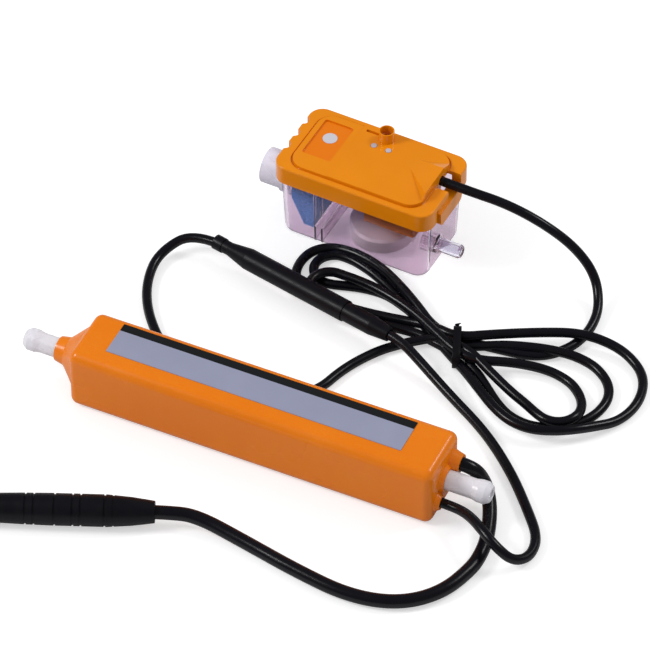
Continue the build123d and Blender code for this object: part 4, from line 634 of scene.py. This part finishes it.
FINISHES = {
    "coat": coat_vinyl(),
    "label": label_film(),
    "case": moulded("case_plastic", (0.74, 0.74, 0.71), 0.42)[0],
    "spigot": milky_nylon(),
    "silicone": moulded("hose_silicone", (0.72, 0.72, 0.70), 0.5, 0.9)[0],
    "brass": metal("turned_brass", (0.80, 0.58, 0.26), 0.25, (1, 0.05, 0.05)),
    "nylon": moulded("natural_nylon", (0.78, 0.76, 0.70), 0.4)[0],
    "winding": wound_wire(),
    "steel": metal("ground_steel", (0.60, 0.60, 0.62), 0.3, (1, 0.05, 0.05)),
    "spring": metal("spring_wire", (0.64, 0.64, 0.66), 0.22, (1, 1, 0.1), 2500),
    "black_rubber": moulded("black_rubber", (0.022, 0.022, 0.022), 0.7, 0.85, 1200, 0.00004)[0],
    "black_plastic": black_moulding(),
    "circuit_board": board_lacquer(),
    "clear": clear_moulding(),
    "foam": open_foam(),
    "float": moulded("float_plastic", (0.92, 0.84, 0.88), 0.35)[0],
    "magnet": metal("sintered_magnet", (0.20, 0.20, 0.21), 0.6, (1, 1, 1), 900),
    "orange_plastic": lid_plastic(),
    "silver_plastic": moulded("silver_pin", (0.55, 0.50, 0.56), 0.2, 0.9)[0],
    "sticker": moulded("plain_sticker", (0.62, 0.60, 0.64), 0.4, 0.94)[0],
    "resin": moulded("potting_resin", (0.03, 0.03, 0.03), 0.2, 0.8)[0],
    "lead_jacket": lead_vinyl(),
}


def wear(piece, finish):
    """Gives a piece its finish in every slot it has."""
    data = piece.data
    if not data.materials:
        data.materials.append(FINISHES[finish])
    for slot in piece.material_slots:
        slot.material = FINISHES[finish]


for part in frame["record"]["subparts"]:
    wear(nodes[part["node"]], part["material_slot"])
for piece, finish in ((power_lead, "lead_jacket"), (control_lead, "lead_jacket"),
                      (sensor_lead, "lead_jacket"),
                      (hank_tie_band, "black_plastic"), (hank_tie_ends, "black_plastic"),
                      (plunger_coil, "spring"), (outlet_coil, "spring")):
    piece.data.materials.clear()
    piece.data.materials.append(FINISHES[finish])


# Floor, light and world
FLOOR_SIZE, FLOOR_DROP = 12, 0.0002      # metres
FLOOR_GREY, FLOOR_GLOW = 0.68, 0.50
SKY_LIGHT, SKY_LOSS_IN_GLOSS = 0.60, 0.45


def floor():
    """A pale floor that glows for the camera only, so that it reads as white."""
    bpy.ops.object.select_all(action="DESELECT")
    bpy.ops.mesh.primitive_plane_add(size=FLOOR_SIZE, location=(0, 0, -FLOOR_DROP))
    plane = bpy.context.object
    plane.name = "studio_floor"
    material = bpy.data.materials.new("studio_floor")
    material.use_nodes = True
    tree = material.node_tree
    tree.nodes.clear()
    out = tree.nodes.new("ShaderNodeOutputMaterial")
    matt = tree.nodes.new("ShaderNodeBsdfDiffuse")
    matt.inputs["Color"].default_value = (*grey(FLOOR_GREY), 1)
    glow = tree.nodes.new("ShaderNodeEmission")
    rays = tree.nodes.new("ShaderNodeLightPath")
    both = tree.nodes.new("ShaderNodeAddShader")
    seen = math_node(material, "MAXIMUM", rays.outputs["Is Camera Ray"],
                     rays.outputs["Is Transmission Ray"])
    tree.links.new(math_node(material, "MULTIPLY", seen, FLOOR_GLOW), glow.inputs["Strength"])
    tree.links.new(matt.outputs[0], both.inputs[0])
    tree.links.new(glow.outputs[0], both.inputs[1])
    tree.links.new(both.outputs[0], out.inputs["Surface"])
    plane.data.materials.append(material)


def softbox(name, place, target, width, depth, power):
    """A rectangular lamp that faces its target."""
    data = bpy.data.lights.new(name, "AREA")
    data.shape = "RECTANGLE"
    data.size, data.size_y = width, depth
    data.energy = power
    lamp = bpy.data.objects.new(name, data)
    lamp.location = place
    aim = Vector(target) - Vector(place)
    lamp.rotation_euler = aim.to_track_quat("-Z", "Y").to_euler()
    bpy.context.scene.collection.objects.link(lamp)


def studio():
    """A soft white sky, dimmer in reflections, and two softboxes."""
    world = bpy.data.worlds.new("studio")
    world.use_nodes = True
    sky = world.node_tree.nodes["Background"]
    sky.inputs["Color"].default_value = (0.97, 0.97, 1.0, 1)
    rays = world.node_tree.nodes.new("ShaderNodeLightPath")
    dimmed = math_node(world, "MULTIPLY_ADD", rays.outputs["Is Glossy Ray"],
                       -SKY_LOSS_IN_GLOSS, SKY_LIGHT)
    world.node_tree.links.new(dimmed, sky.inputs["Strength"])
    bpy.context.scene.world = world
    softbox("key_light", (-1.05, -0.62, 1.15), (0, 0.05, 0), 0.5, 0.4, 12)
    softbox("back_light", (0.9, 1.0, 1.4), (0, 0.05, 0), 0.6, 0.4, 9)
    bpy.context.scene.view_settings.view_transform = "Standard"


floor()
studio()

bpy.context.view_layer.update()
